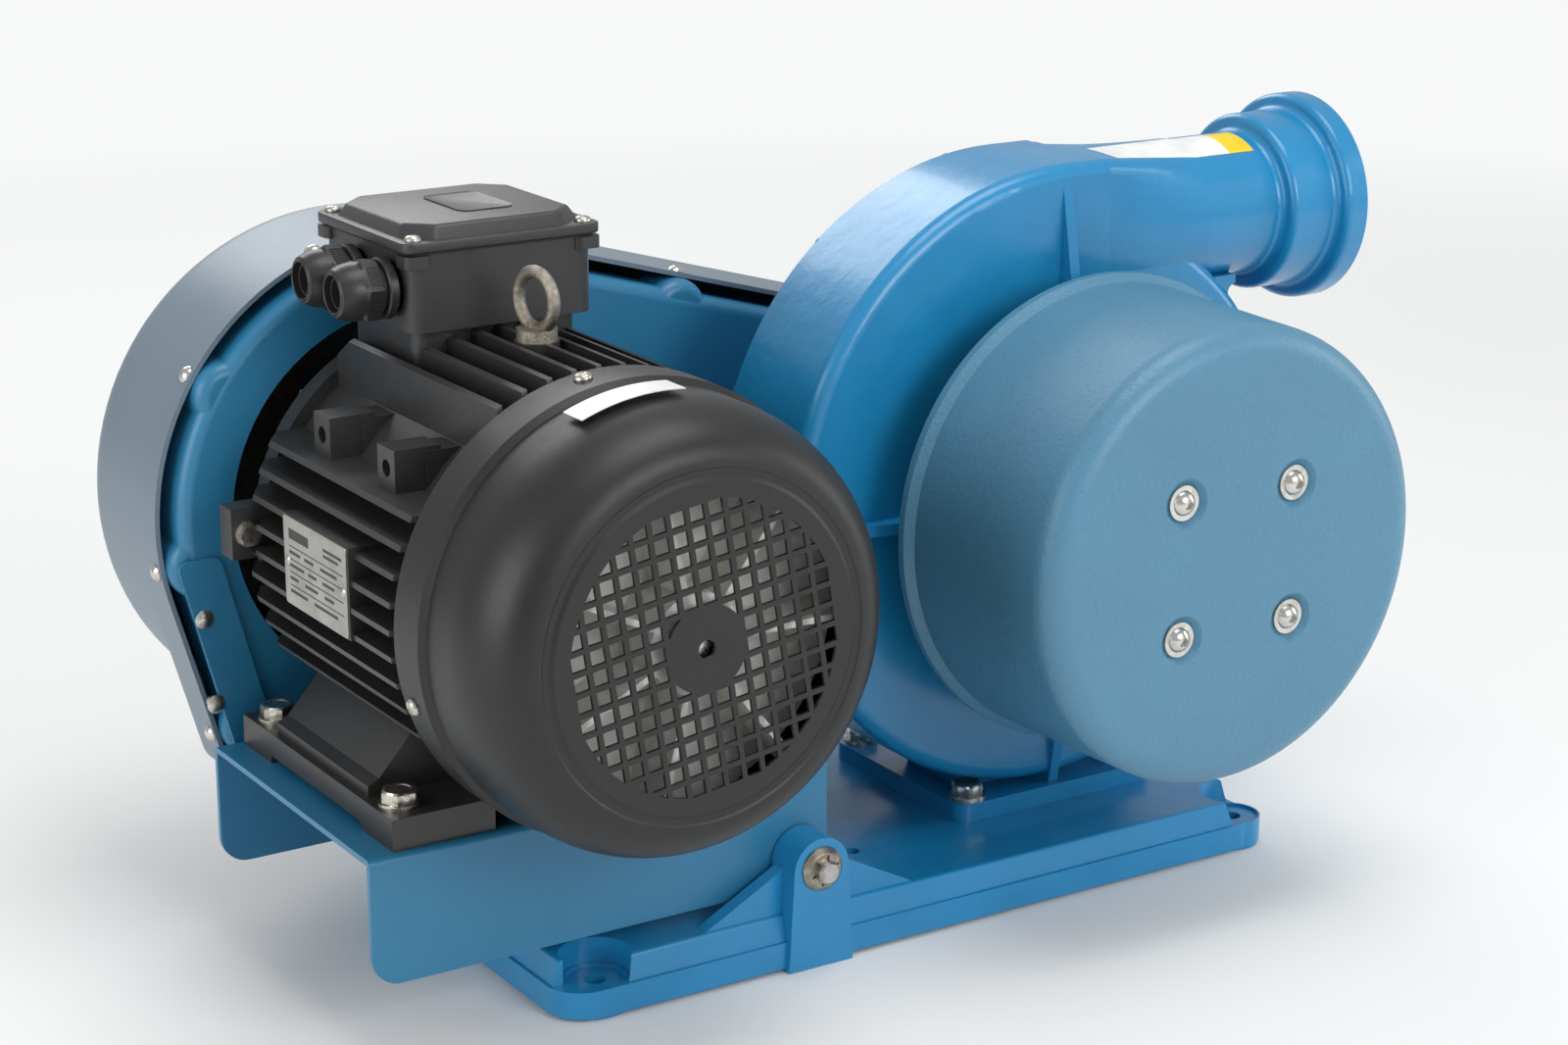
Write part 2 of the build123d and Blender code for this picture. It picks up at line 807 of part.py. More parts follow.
with BuildPart() as cowl_screws:
    for angle in cowl_screw_angles:
        seat = radial(drive_axis, angle, cowl_rim_radius, cowl_rear - cowl_screw_inset)
        dome(seat, 4.5, 2.8)
        tip = radial(drive_axis, angle, cowl_screw_bottom + 1, cowl_rear - cowl_screw_inset)
        peg(tip, cowl_screw_radius, cowl_rim_radius - cowl_screw_bottom - 0.6)
save(cowl_screws, "cowl_screws")

fan_back = cowl_face + fan_setback + fan_depth
with BuildPart() as cooling_fan:
    disc(drive_axis, fan_back - 3, fan_back, fan_radius, 12)
    disc(drive_axis, fan_back - fan_depth, fan_back, 24, 12)
    for blade in range(fan_blades):
        turn = 360 * blade / fan_blades
        with BuildSketch(facing_front(fan_back - 2, motor_x, motor_z)):
            with Locations(Rotation(0, 0, turn)):
                with Locations(((fan_radius + 20) / 2, 0)):
                    Rectangle(fan_radius - 20, 3)
        extrude(amount=fan_depth - 2)
save(cooling_fan, "cooling_fan")

# Motor rotor -------------------------------------------------------------------------------

with BuildPart() as motor_shaft:
    turned(
        drive_axis,
        [
            (0, fan_back - fan_depth - 4),
            (12, fan_back - fan_depth - 4),
            (12, fan_bearing_front - 8),
            (bearing_bore, fan_bearing_front - 8),
            (bearing_bore, fan_bearing_front + bearing_width),
            (19, fan_bearing_front + bearing_width),
            (19, core_front),
            (20, core_front),
            (20, core_rear),
            (19, core_rear),
            (19, drive_bearing_front),
            (bearing_bore, drive_bearing_front),
            (bearing_bore, drive_nose + 2),
            (shaft_radius, drive_nose + 4),
            (shaft_radius, shaft_end - 1),
            (shaft_radius - 1, shaft_end),
            (0, shaft_end),
        ],
    )
save(motor_shaft, "motor_shaft")

with BuildPart() as rotor_core:
    disc(drive_axis, core_front, core_rear, core_radius, 20)
    for near, far in ((core_front - 8, core_front), (core_rear, core_rear + 8)):
        disc(drive_axis, near, far, core_radius - 4, core_radius - 16)
save(rotor_core, "rotor_core")


def pulley(axis, pitch, bore, web_radius):
    """Grooved pulley with a recessed web."""
    outside = pitch + belt_above + 0.5
    disc(axis, pulley_front, pulley_front + pulley_width, outside, bore)
    for groove in range(groove_count):
        middle = pulley_front + 2 + groove_pitch * (groove + 0.5)
        top = belt_top_width / 2 + belt_gap
        slope = (belt_top_width - belt_bottom_width) / 2 / (belt_above + belt_below)
        bottom_radius = pitch - belt_below - 2
        bottom = top - slope * (pitch + belt_above - bottom_radius)
        lip = top + slope * 2
        turned(
            axis,
            [
                (bottom_radius, middle - bottom),
                (pitch + belt_above + 2, middle - lip),
                (pitch + belt_above + 2, middle + lip),
                (bottom_radius, middle + bottom),
            ],
            mode=Mode.SUBTRACT,
        )
    if web_radius > 0:
        disc(axis, pulley_front, pulley_front + 8, pitch - 16, web_radius, mode=Mode.SUBTRACT)
        disc(
            axis,
            pulley_front + pulley_width - 8,
            pulley_front + pulley_width,
            pitch - 16,
            web_radius,
            mode=Mode.SUBTRACT,
        )


with BuildPart() as drive_pulley:
    pulley(drive_axis, drive_pitch_radius, shaft_radius, 30)
save(drive_pulley, "drive_pulley")

# Terminal box ------------------------------------------------------------------------------

box_y = box_front + box_depth / 2
gland_ys = (box_front + gland_inset, box_front + gland_inset + gland_pitch)
lid_screw_spots = [
    (motor_x + sx * (box_width / 2 - 4), box_y + sy * (box_depth / 2 - 4)) for sx in (-1, 1) for sy in (-1, 1)
]
box_top = box_bottom + box_height
lid_bottom = box_top + gasket_thickness
lid_width = box_width + 2 * lid_overhang
lid_depth = box_depth + 2 * lid_overhang

with BuildPart() as terminal_box:
    with BuildSketch(up(motor_x, box_y, box_bottom)):
        RectangleRounded(box_width, box_depth, 8)
    extrude(amount=box_height)
    with BuildSketch(up(motor_x, box_y, box_bottom + box_wall)):
        RectangleRounded(box_width - 2 * box_wall, box_depth - 2 * box_wall, 5)
    extrude(amount=box_height, mode=Mode.SUBTRACT)
    with BuildSketch(up(motor_x, box_y, box_top - corner_post)):
        with GridLocations(box_width - 8, box_depth - 8, 2, 2):
            RectangleRounded(14, 14, 4)
    extrude(amount=corner_post)
    with BuildSketch(up(motor_x, box_y, box_bottom)):
        Rectangle(40, 40)
    extrude(amount=box_wall, mode=Mode.SUBTRACT)
    for x, y in lid_screw_spots:
        post((x, y), box_top - corner_post, box_top + 1, 2 + shaft_fit, mode=Mode.SUBTRACT)
    for y in gland_ys:
        side = motor_x - box_width / 2
        rod_x((y, gland_z), side - 1, side + 6, 12.5 + shaft_fit, mode=Mode.SUBTRACT)
save(terminal_box, "terminal_box")

with BuildPart() as terminal_gasket:
    with BuildSketch(up(motor_x, box_y, box_top)):
        RectangleRounded(box_width + 2, box_depth + 2, 8)
        RectangleRounded(box_width - 18, box_depth - 18, 3, mode=Mode.SUBTRACT)
        with GridLocations(box_width - 8, box_depth - 8, 2, 2):
            Circle(2.6, mode=Mode.SUBTRACT)
    extrude(amount=gasket_thickness)
save(terminal_gasket, "terminal_gasket")

with BuildPart() as terminal_lid:
    with BuildSketch(up(motor_x, box_y, lid_bottom)):
        RectangleRounded(lid_width, lid_depth, 7)
    extrude(amount=lid_flange)
    with BuildSketch(up(motor_x, box_y, lid_bottom + lid_flange)) as raised:
        Rectangle(lid_width - 2 * lid_raised_inset, lid_depth - 2 * lid_raised_inset)
        chamfer(raised.vertices(), length=13.5)
    extrude(amount=lid_rise, taper=35)
    with BuildSketch(up(motor_x, box_y, lid_bottom)):
        RectangleRounded(box_width - 22, box_depth - 22, 3)
    extrude(amount=lid_flange, mode=Mode.SUBTRACT)
    for x, y in lid_screw_spots:
        post((x, y), lid_bottom - 1, lid_bottom + lid_flange + 1, 2 + bolt_play, mode=Mode.SUBTRACT)
save(terminal_lid, "terminal_lid")

with BuildPart() as lid_screws:
    for x, y in lid_screw_spots:
        dome(up(x, y, lid_bottom + lid_flange), 4.2, 2.6)
        peg(down(x, y, lid_bottom + lid_flange + 0.4), 2, lid_flange + gasket_thickness + corner_post - 2)
save(lid_screws, "lid_screws")

box_floor = box_bottom + box_wall
with BuildPart() as terminal_block:
    block((motor_x - 26, box_y - 30, box_floor), (motor_x + 26, box_y - 22, box_floor + 12))
    block((motor_x - 26, box_y + 22, box_floor), (motor_x + 26, box_y + 30, box_floor + 12))
    block((motor_x - 26, box_y - 30, box_floor + 6), (motor_x + 26, box_y + 30, box_floor + 14))
    for sx in (-1, 0, 1):
        for sy in (-1, 1):
            post((motor_x + sx * 17, box_y + sy * 12), box_floor + 13, box_floor + 26, 2.5)
save(terminal_block, "terminal_block")

gland_seat = motor_x - box_width / 2
with BuildPart() as gland_bodies:
    for y in gland_ys:
        rod_x((y, gland_z), gland_seat - 5, gland_seat, gland_radius + 0.5, 9)
        rod_x((y, gland_z), gland_seat - 16, gland_seat - 5, gland_radius - 2.5, 9)
        rod_x((y, gland_z), gland_seat, gland_seat + 8, 12.5, 9)
save(gland_bodies, "gland_bodies")

gland_shoulder = gland_seat - gland_length + 15  # where the nut's hexagon ends and its dome starts
gland_tip = gland_seat - gland_length
with BuildPart() as gland_nuts:
    for y in gland_ys:
        with BuildSketch(facing_right(gland_shoulder, y, gland_z)):
            RegularPolygon(gland_radius, 6, major_radius=False)
        extrude(amount=12)
        turned_nose = Plane(origin=(0, y, gland_z), x_dir=(1, 0, 0), z_dir=(0, -1, 0))
        with BuildSketch(turned_nose):
            with BuildLine():
                Polyline((gland_tip, 9), (gland_shoulder, 9), (gland_shoulder, gland_radius))
                ThreePointArc(
                    (gland_shoulder, gland_radius),
                    (gland_shoulder - 9, gland_radius - 3),
                    (gland_tip, 9),
                )
            make_face()
        revolve(axis=Axis((0, y, gland_z), (1, 0, 0)))
        rod_x((y, gland_z), gland_shoulder - 1, gland_seat - 4, gland_radius - 2.5, mode=Mode.SUBTRACT)
        rod_x((y, gland_z), gland_tip - 1, gland_seat, 9, mode=Mode.SUBTRACT)
save(gland_nuts, "gland_nuts")

with BuildPart() as gland_seals:
    for y in gland_ys:
        rod_x((y, gland_z), gland_tip + 3, gland_seat - 6, 9, 7)
save(gland_seals, "gland_seals")

ring_radius = 13.65
wire_radius = 3.2
ring_z = eye_seat + 19.4
lean = radians(-80.5)  # the ring stands nearly across the motor
ring_run = (cos(lean), sin(lean), 0)
ring_axis = (-sin(lean), cos(lean), 0)
with BuildPart() as eye_bolt:
    post((motor_x, eye_y), eye_seat, eye_seat + 6, 10)
    post((motor_x, eye_y), eye_seat - 14, eye_seat, 4)
    with BuildSketch(Plane(origin=(motor_x, eye_y, ring_z), x_dir=ring_run, z_dir=(0, 0, 1))):
        with Locations((ring_radius, 0)):
            Circle(wire_radius)
    revolve(axis=Axis((motor_x, eye_y, ring_z), ring_axis))
save(eye_bolt, "eye_bolt")

# Small pieces on the motor -----------------------------------------------------------------

plate_outer = plate_pad[0]
plate_middle = (plate_pad[1] + plate_pad_size[0] / 2, plate_pad[2] + plate_pad_size[1] / 2)
plate_face = Plane(origin=(plate_outer, *plate_middle), x_dir=(0, -1, 0), z_dir=(-1, 0, 0))
rivet_half = plate_size[0] / 2 - 4

with BuildPart() as rating_plate:
    with BuildSketch(plate_face):
        RectangleRounded(*plate_size, 2)
        with GridLocations(2 * rivet_half, 1, 2, 1):
            Circle(1.6, mode=Mode.SUBTRACT)
    extrude(amount=plate_gauge)
save(rating_plate, "rating_plate")

with BuildPart() as plate_rivets:
    for side in (-1, 1):
        head = plate_face.offset(plate_gauge)
        spot = Plane(
            origin=head.origin + head.x_dir * (side * rivet_half),
            x_dir=head.x_dir,
            z_dir=head.z_dir,
        )
        dome(spot, 2.6, 1.2)
        peg(spot, 1.5, -plate_gauge)
save(plate_rivets, "plate_rivets")

with BuildPart() as earth_bolt:
    seat = facing_front(earth_seat, earth_x, earth_z)
    peg(seat, 6.5, 1.4)
    hexagon(seat.offset(1.4), 10, 4.5)
    peg(seat.offset(1.4), 3, -18)
save(earth_bolt, "earth_bolt")

# Blower casing -----------------------------------------------------------------------------

half_step = scroll_step / 2
throat_start = 28  # from the blower axis to where the outlet leaves the scroll
throat_end = 93
outlet_mid = scroll_top - pipe_radius
throat_half_height = pipe_radius - volute_wall - throat_step
casing_middle = facing_front(volute_rear, *blower_axis)


def scroll(inset):
    """Face of the scroll, built up from quarter arcs about four centres."""
    with BuildSketch(casing_middle) as face:
        with BuildLine():
            closing = scroll_radius - scroll_step - inset
            closing_angle = degrees(acos((throat_start - half_step) / closing))
            first = CenterArc((half_step, -half_step), closing, closing_angle, -closing_angle)
            CenterArc((-half_step, -half_step), scroll_radius - inset, 0, -90)
            CenterArc((-half_step, half_step), scroll_radius + scroll_step - inset, -90, -90)
            CenterArc((half_step, half_step), scroll_radius + 2 * scroll_step - inset, 180, -90)
            Polyline(
                (half_step, scroll_top - inset),
                (throat_start, scroll_top - inset),
                first @ 0,
            )
        make_face()
    return face.sketch


def outlet_face(x, half_width, half_height, corner):
    """Cross-section of the outlet at a distance from the blower axis."""
    with BuildSketch(facing_right(blower_x + x, volute_mid, blower_z + outlet_mid)) as face:
        RectangleRounded(2 * half_width, 2 * half_height, corner)
    return face.sketch


def round_face(x, radius):
    """Round cross-section of the outlet at a distance from the blower axis."""
    with BuildSketch(facing_right(blower_x + x, volute_mid, blower_z + outlet_mid)) as face:
        Circle(radius)
    return face.sketch


def casing_foot_web():
    """Tapered pedestal between the foot and the scroll."""
    with BuildSketch(facing_front(volute_rear, blower_x)) as face:
        with BuildLine():
            Polyline(
                (-casing_foot_x / 2 + 16, casing_foot_z),
                (casing_foot_x / 2 - 16, casing_foot_z),
                (casing_foot_x / 2 + 14, blower_z - 110),
                (-casing_foot_x / 2 - 14, blower_z - 110),
                close=True,
            )
        make_face()
    extrude(face.sketch, amount=pedestal_depth)


def casing_web(angle, outer):
    """Web that stands on the casing's front face and deepens towards the inlet."""
    lean = radians(angle)
    plane = Plane(
        origin=(blower_x, 0, blower_z),
        x_dir=(cos(lean), 0, sin(lean)),
        z_dir=(-sin(lean), 0, cos(lean)),
    )
    with BuildSketch(plane) as face:
        with BuildLine():
            Polyline(
                (outer, volute_front + 1),
                (outer, volute_front),
                (casing_web_inner, volute_front - casing_web_height),
                (casing_web_inner, volute_front + 1),
                close=True,
            )
        make_face()
    extrude(face.sketch, amount=casing_rib / 2, both=True)


casing_foot_z = platform_top + casing_foot_thickness
outlet_x = blower_x + throat_end
lip_start = outlet_end - lip_width
neck_start = lip_start - neck_width
outlet_centre = (volute_mid, blower_z + outlet_mid)
stud_spots = [
    (blower_x + sx * drum_screw_side / 2, blower_z + sz * drum_screw_side / 2) for sx in (-1, 1) for sz in (-1, 1)
]
back_screw_spots = []
for (x, z), radius, angles in (
    ((half_step, -half_step), scroll_radius - scroll_step, (10, 35)),
    ((-half_step, -half_step), scroll_radius, (-20, -50, -80)),
    ((-half_step, half_step), scroll_radius + scroll_step, (-110, -140, -170)),
    ((half_step, half_step), scroll_radius + 2 * scroll_step, (160, 130, 100)),
):
    for angle in angles:
        back_screw_spots.append(around((blower_x + x, blower_z + z), radius - volute_wall / 2, angle))

with BuildPart() as outlet_mouth:
    rod_x(outlet_centre, outlet_x, outlet_end, pipe_radius)
    rod_x(outlet_centre, neck_start, lip_start, pipe_radius + neck_step)
    rod_x(outlet_centre, lip_start, outlet_end, pipe_radius + neck_step + lip_step)
    circles = outlet_mouth.edges().filter_by(GeomType.CIRCLE).group_by(Axis.X)
    step_round = min(mouth_round, 0.45 * neck_step, 0.45 * lip_step)
    fillet(circles[1] + circles[2], radius=step_round)

with BuildPart() as volute_casing:
    extrude(scroll(0), amount=volute_width)
    rim = volute_casing.faces().sort_by(Axis.Y)[0].edges()
    fillet(rim.filter_by(Axis.Z, reverse=True), radius=volute_edge)
    casing_foot_web()
    with BuildSketch(Plane.XY.offset(platform_top)):
        with Locations((blower_x, (casing_foot_front + casing_foot_rear) / 2)):
            RectangleRounded(casing_foot_x, casing_foot_rear - casing_foot_front, 8)
    extrude(amount=casing_foot_thickness)
    loft(
        [
            outlet_face(throat_start, volute_width / 2 - throat_step, pipe_radius - throat_step, volute_edge),
            round_face(throat_end, pipe_radius + throat_lip),
        ]
    )
    add(outlet_mouth.part)
    tongue_z = scroll_top - 2 * pipe_radius - tongue_fillet
    tongue_reach = scroll_radius - scroll_step + tongue_fillet
    tongue_x = half_step + sqrt(tongue_reach**2 - (tongue_z + half_step) ** 2)
    with BuildSketch(facing_front(volute_rear - volute_edge, *blower_axis)):
        with BuildLine():
            Polyline(
                (tongue_x - 40, tongue_z + 2 * tongue_fillet),
                (tongue_x, tongue_z + 2 * tongue_fillet),
                (tongue_x, tongue_z),
                (tongue_x - tongue_fillet, tongue_z - 8),
                (tongue_x - 40, tongue_z - 8),
                close=True,
            )
        make_face()
        with Locations((tongue_x, tongue_z)):
            Circle(tongue_fillet, mode=Mode.SUBTRACT)
    extrude(amount=volute_width - 2 * volute_edge)
    for angle, outer in (
        (0, scroll_radius - 12),
        (90, scroll_top - 12),
        (180, scroll_radius + 4),
        (270, blower_z - casing_foot_z),
    ):
        casing_web(angle, outer)
    for x, z in stud_spots:
        peg(facing_front(volute_front + volute_wall + 6, x, z), 9, 7)
    extrude(scroll(volute_wall), amount=volute_width - volute_wall, mode=Mode.SUBTRACT)
    loft(
        [
            outlet_face(throat_start - 5, volute_width / 2 - volute_wall - throat_step, throat_half_height, 4),
            round_face(throat_end, pipe_bore + throat_lip),
        ],
        mode=Mode.SUBTRACT,
    )
    rod_x(outlet_centre, outlet_x - 1, outlet_end, pipe_bore, mode=Mode.SUBTRACT)
    rod_x(outlet_centre, outlet_end - socket_depth, outlet_end, socket_radius, mode=Mode.SUBTRACT)
    disc(blower_axis, volute_front - 10, volute_rear, inlet_radius, mode=Mode.SUBTRACT)
    for x, z in stud_spots:
        peg(facing_front(volute_front + 20, x, z), stud_radius + shaft_fit, 40, mode=Mode.SUBTRACT)
    for spot in back_screw_spots:
        disc(spot, volute_rear - 12, volute_rear + 1, 2 + shaft_fit, mode=Mode.SUBTRACT)
    for point in casing_bolts:
        down_hole = (platform_top - 1, platform_top + casing_foot_thickness + 1)
        post(point, *down_hole, 5 + bolt_play, mode=Mode.SUBTRACT)
save(volute_casing, "volute_casing")

with BuildPart() as volute_back_plate:
    extrude(scroll(lining_gap), amount=-back_plate_thickness)
    pipe_room = pipe_radius + throat_lip + lining_gap
    rod_x(outlet_centre, blower_x + throat_start - 1, outlet_end, pipe_room, mode=Mode.SUBTRACT)
    disc(blower_axis, volute_rear, housing_front, blower_bearing_bore + free_gap, mode=Mode.SUBTRACT)
    for spot in back_screw_spots:
        disc(spot, volute_rear, housing_front, 2 + bolt_play, mode=Mode.SUBTRACT)
    for angle in housing_screw_angles:
        spot = around(blower_axis, front_screw_circle, angle)
        disc(spot, volute_rear, housing_front, 2.5 + shaft_fit, mode=Mode.SUBTRACT)
save(volute_back_plate, "volute_back_plate")

with BuildPart() as back_plate_screws:
    for spot in back_screw_spots:
        head = facing_rear(housing_front, *spot)
        dome(head, 3.6, 2.4)
        peg(head, 2, -back_plate_thickness - 10)
save(back_plate_screws, "back_plate_screws")

with BuildPart() as volute_foot_washers:
    for x, y in casing_bolts:
        peg(up(x, y, casing_foot_z), 10, foot_washer, 5.3)
save(volute_foot_washers, "volute_foot_washers")

with BuildPart() as volute_foot_bolts:
    for x, y in casing_bolts:
        seat = casing_foot_z + foot_washer
        hexagon(up(x, y, seat), 16, 6.4)
        peg(down(x, y, seat), 5, casing_foot_thickness + foot_washer + base_skin)
save(volute_foot_bolts, "volute_foot_bolts")

# Bearing housing and blower shaft ----------------------------------------------------------

panel_seat = panel_front + panel_sheet
seat_front = housing_front + 8
seat_rear = housing_rear - 5 - blower_bearing_width

bearing_shoulder = blower_bearing_outer - 5
shaft_opening = blower_bearing_bore + 4

with BuildPart() as bearing_housing:
    turned(
        blower_axis,
        [
            (shaft_opening, housing_front),
            (front_flange_radius, housing_front),
            (front_flange_radius, housing_front + housing_flange),
            (housing_radius, housing_front + housing_flange),
            (housing_radius, panel_seat),
            (panel_flange_radius, panel_seat),
            (panel_flange_radius, panel_seat + housing_flange),
            (housing_radius, panel_seat + housing_flange),
            (housing_radius, housing_rear),
            (shaft_opening, housing_rear),
            (shaft_opening, seat_rear + blower_bearing_width),
            (blower_bearing_outer, seat_rear + blower_bearing_width),
            (blower_bearing_outer, seat_rear),
            (bearing_shoulder, seat_rear),
            (bearing_shoulder, seat_front + blower_bearing_width),
            (blower_bearing_outer, seat_front + blower_bearing_width),
            (blower_bearing_outer, seat_front),
            (shaft_opening, seat_front),
        ],
    )
    for angle in housing_screw_angles:
        front_spot = around(blower_axis, front_screw_circle, angle)
        panel_spot = around(blower_axis, panel_screw_circle, angle)
        disc(front_spot, housing_front, housing_front + housing_flange, 2.5 + bolt_play, mode=Mode.SUBTRACT)
        disc(panel_spot, panel_seat, panel_seat + housing_flange, 2.5 + shaft_fit, mode=Mode.SUBTRACT)
save(bearing_housing, "bearing_housing")

with BuildPart() as housing_bolts:
    for angle in housing_screw_angles:
        x, z = around(blower_axis, front_screw_circle, angle)
        rear_head = facing_rear(housing_front + housing_flange, x, z)
        hexagon(rear_head, 8, 4)
        peg(rear_head, 2.5, -housing_flange - back_plate_thickness)
        front_head = facing_front(panel_front, *around(blower_axis, panel_screw_circle, angle))
        dome(front_head, 4.4, 2.6)
        peg(front_head, 2.5, -panel_sheet - housing_flange)
save(housing_bolts, "housing_bolts")

with BuildPart() as blower_bearings:
    for near in (seat_front, seat_rear):
        disc(blower_axis, near, near + blower_bearing_width, blower_bearing_outer, blower_bearing_bore + shaft_fit)
        for face_y in (near, near + blower_bearing_width - 1):
            disc(blower_axis, face_y, face_y + 1, bearing_shoulder, shaft_opening, mode=Mode.SUBTRACT)
save(blower_bearings, "blower_bearings")

impeller_back = volute_rear - 6
impeller_front = impeller_back - impeller_blade_width
hub_front = impeller_back - 20
with BuildPart() as blower_shaft:
    turned(
        blower_axis,
        [
            (0, hub_front - 12),
            (9, hub_front - 12),
            (9, hub_front),
            (10, hub_front),
            (10, impeller_back),
            (blower_bearing_bore, impeller_back),
            (blower_bearing_bore, pulley_front),
            (11, pulley_front),
            (11, pulley_front + pulley_width + 8),
            (10, pulley_front + pulley_width + 9),
            (0, pulley_front + pulley_width + 9),
        ],
    )
save(blower_shaft, "blower_shaft")

with BuildPart() as impeller:
    disc(blower_axis, impeller_back - 3, impeller_back, impeller_radius, 10)
    disc(blower_axis, hub_front, impeller_back, 22, 10)
    disc(blower_axis, impeller_front, impeller_front + 3, impeller_radius, inlet_radius + 2)
    for blade in range(impeller_blades):
        start = 360 * blade / impeller_blades
        with BuildSketch(facing_front(impeller_back - 2, *blower_axis)):
            with BuildLine():
                ThreePointArc(polar(44, start), polar(86, start - 14), polar(impeller_radius - 1, start - 38))
                ThreePointArc(polar(44, start + 4), polar(86, start - 12), polar(impeller_radius - 1, start - 36.6))
                Line(polar(44, start), polar(44, start + 4))
                Line(polar(impeller_radius - 1, start - 38), polar(impeller_radius - 1, start - 36.6))
            make_face()
        extrude(amount=impeller_blade_width - 4)
save(impeller, "impeller")

with BuildPart() as impeller_nut:
    hexagon(facing_front(hub_front, *blower_axis), 27, 10, 9)
save(impeller_nut, "impeller_nut")

with BuildPart() as driven_pulley:
    pulley(blower_axis, driven_pitch_radius, 11, 0)
save(driven_pulley, "driven_pulley")

# Inlet silencer ----------------------------------------------------------------------------

bolt_plane = drum_front + drum_pocket_depth
spacer_front = bolt_plane + drum_wall

with BuildPart() as inlet_nozzle:
    turned(
        blower_axis,
        [
            (inlet_radius - 5, volute_front + volute_wall),
            (inlet_radius - shaft_fit, volute_front + volute_wall),
            (inlet_radius - shaft_fit, volute_front),
            (inlet_radius + 2.5, volute_front),
            (inlet_radius + 2.5, volute_front - 16),
            (inlet_radius, volute_front - 16),
            (inlet_radius - 3, volute_front - 11),
            (inlet_radius - 5, volute_front - 4),
        ],
    )
save(inlet_nozzle, "inlet_nozzle")


def drum_body(inset, front, rear):
    """Tapered drum with a rounded front edge, turned about the blower axis."""
    front_radius = drum_front_radius - inset
    rear_radius = drum_rear_radius - inset
    edge = drum_edge - inset
    with BuildSketch(Plane(origin=(blower_x, 0, blower_z), x_dir=(1, 0, 0), z_dir=(0, 0, 1))) as section:
        with BuildLine():
            Polyline((0, front), (front_radius - edge, front))
            CenterArc((front_radius - edge, front + edge), edge, -90, 90)
            Polyline((front_radius, front + edge), (rear_radius, rear), (0, rear), (0, front))
        make_face()
    return section.sketch


blower_line = Axis((blower_x, 0, blower_z), (0, 1, 0))

with BuildPart() as silencer_shell:
    revolve(drum_body(0, drum_front, drum_rear), axis=blower_line)
    rim_flare = drum_rim_radius - drum_rear_radius
    turned(
        blower_axis,
        [
            (drum_rear_radius - 2, drum_rear - 10),
            (drum_rear_radius - 0.4, drum_rear - 10),
            (drum_rim_radius, drum_rear - 10 + rim_flare),
            (drum_rim_radius, drum_rear - 1.5),
            (drum_rim_radius - 1.5, drum_rear),
            (drum_rear_radius - 2, drum_rear),
        ],
    )
    for x, z in stud_spots:
        peg(facing_front(spacer_front, x, z), drum_pocket_radius + drum_wall, drum_wall)
    revolve(drum_body(drum_wall, drum_front + drum_wall, drum_rear), axis=blower_line, mode=Mode.SUBTRACT)
    for x, z in stud_spots:
        peg(facing_front(spacer_front, x, z), drum_pocket_radius + drum_wall, drum_pocket_depth)
        with BuildSketch(facing_front(bolt_plane, x, z)):
            Circle(drum_pocket_radius - drum_pocket_depth)
        extrude(amount=drum_pocket_depth, taper=-44, mode=Mode.SUBTRACT)
        peg(facing_front(spacer_front + 1, x, z), stud_radius + bolt_play, drum_wall + 2, mode=Mode.SUBTRACT)
save(silencer_shell, "silencer_shell")

foam_outer = drum_front_radius - drum_wall - lining_gap
with BuildPart() as silencer_foam:
    turned(
        blower_axis,
        [
            (foam_outer - foam_thickness, drum_front + drum_edge),
            (foam_outer, drum_front + drum_edge),
            (foam_outer, drum_rear - 4),
            (foam_outer - foam_thickness, drum_rear - 4),
        ],
    )
save(silencer_foam, "silencer_foam")

with BuildPart() as silencer_spacers:
    for x, z in stud_spots:
        peg(facing_front(volute_front, x, z), spacer_radius, volute_front - spacer_front, stud_radius + bolt_play)
save(silencer_spacers, "silencer_spacers")

with BuildPart() as silencer_washers:
    for x, z in stud_spots:
        peg(facing_front(bolt_plane, x, z), 9, 1.6, stud_radius + 0.3)
save(silencer_washers, "silencer_washers")

with BuildPart() as silencer_screws:
    for x, z in stud_spots:
        seat = facing_front(bolt_plane - 1.6, x, z)
        peg(seat, stud_radius, bolt_plane - 1.6 - volute_front - volute_wall)
        dome(seat, 6.6, 4)
        with BuildSketch(seat.offset(1.8)):
            RegularPolygon(2.5, 6, major_radius=False)
        extrude(amount=4, mode=Mode.SUBTRACT)
save(silencer_screws, "silencer_screws")

# Belt guard --------------------------------------------------------------------------------

guard_span = hypot(blower_x - motor_x, blower_z - motor_z)
guard_lean = degrees(atan2(blower_z - motor_z, blower_x - motor_x))


def tangent_angle(first_radius, second_radius, span):
    """Angle between the centre line and the normal of a common outer tangent."""
    return degrees(acos((first_radius - second_radius) / span))


def guard_outline(inset, front, rear, corner=True, mode=Mode.ADD):
    """Prism round the two pulleys and, where wanted, the lower left corner."""
    with BuildSketch(facing_front(front)) as face:
        with Locations(drive_axis):
            Circle(guard_big_radius - inset)
        with Locations(blower_axis):
            Circle(guard_small_radius - inset)
        if corner:
            with Locations(guard_corner):
                Circle(max(guard_corner_radius - inset, 1))
        make_hull()
    extrude(face.sketch, amount=front - rear, mode=mode)


guard_normal = guard_lean + tangent_angle(guard_big_radius, guard_small_radius, guard_span)
guard_normal_low = guard_lean - tangent_angle(guard_big_radius, guard_small_radius, guard_span)


def on_run(start, end, share):
    """Point on a straight run of the outline."""
    return tuple(a + share * (b - a) for a, b in zip(start, end))


def on_big_arc(angle):
    """Place and outward angle of a screw on the arc round the drive pulley."""
    return (around(drive_axis, guard_big_radius, angle), angle)


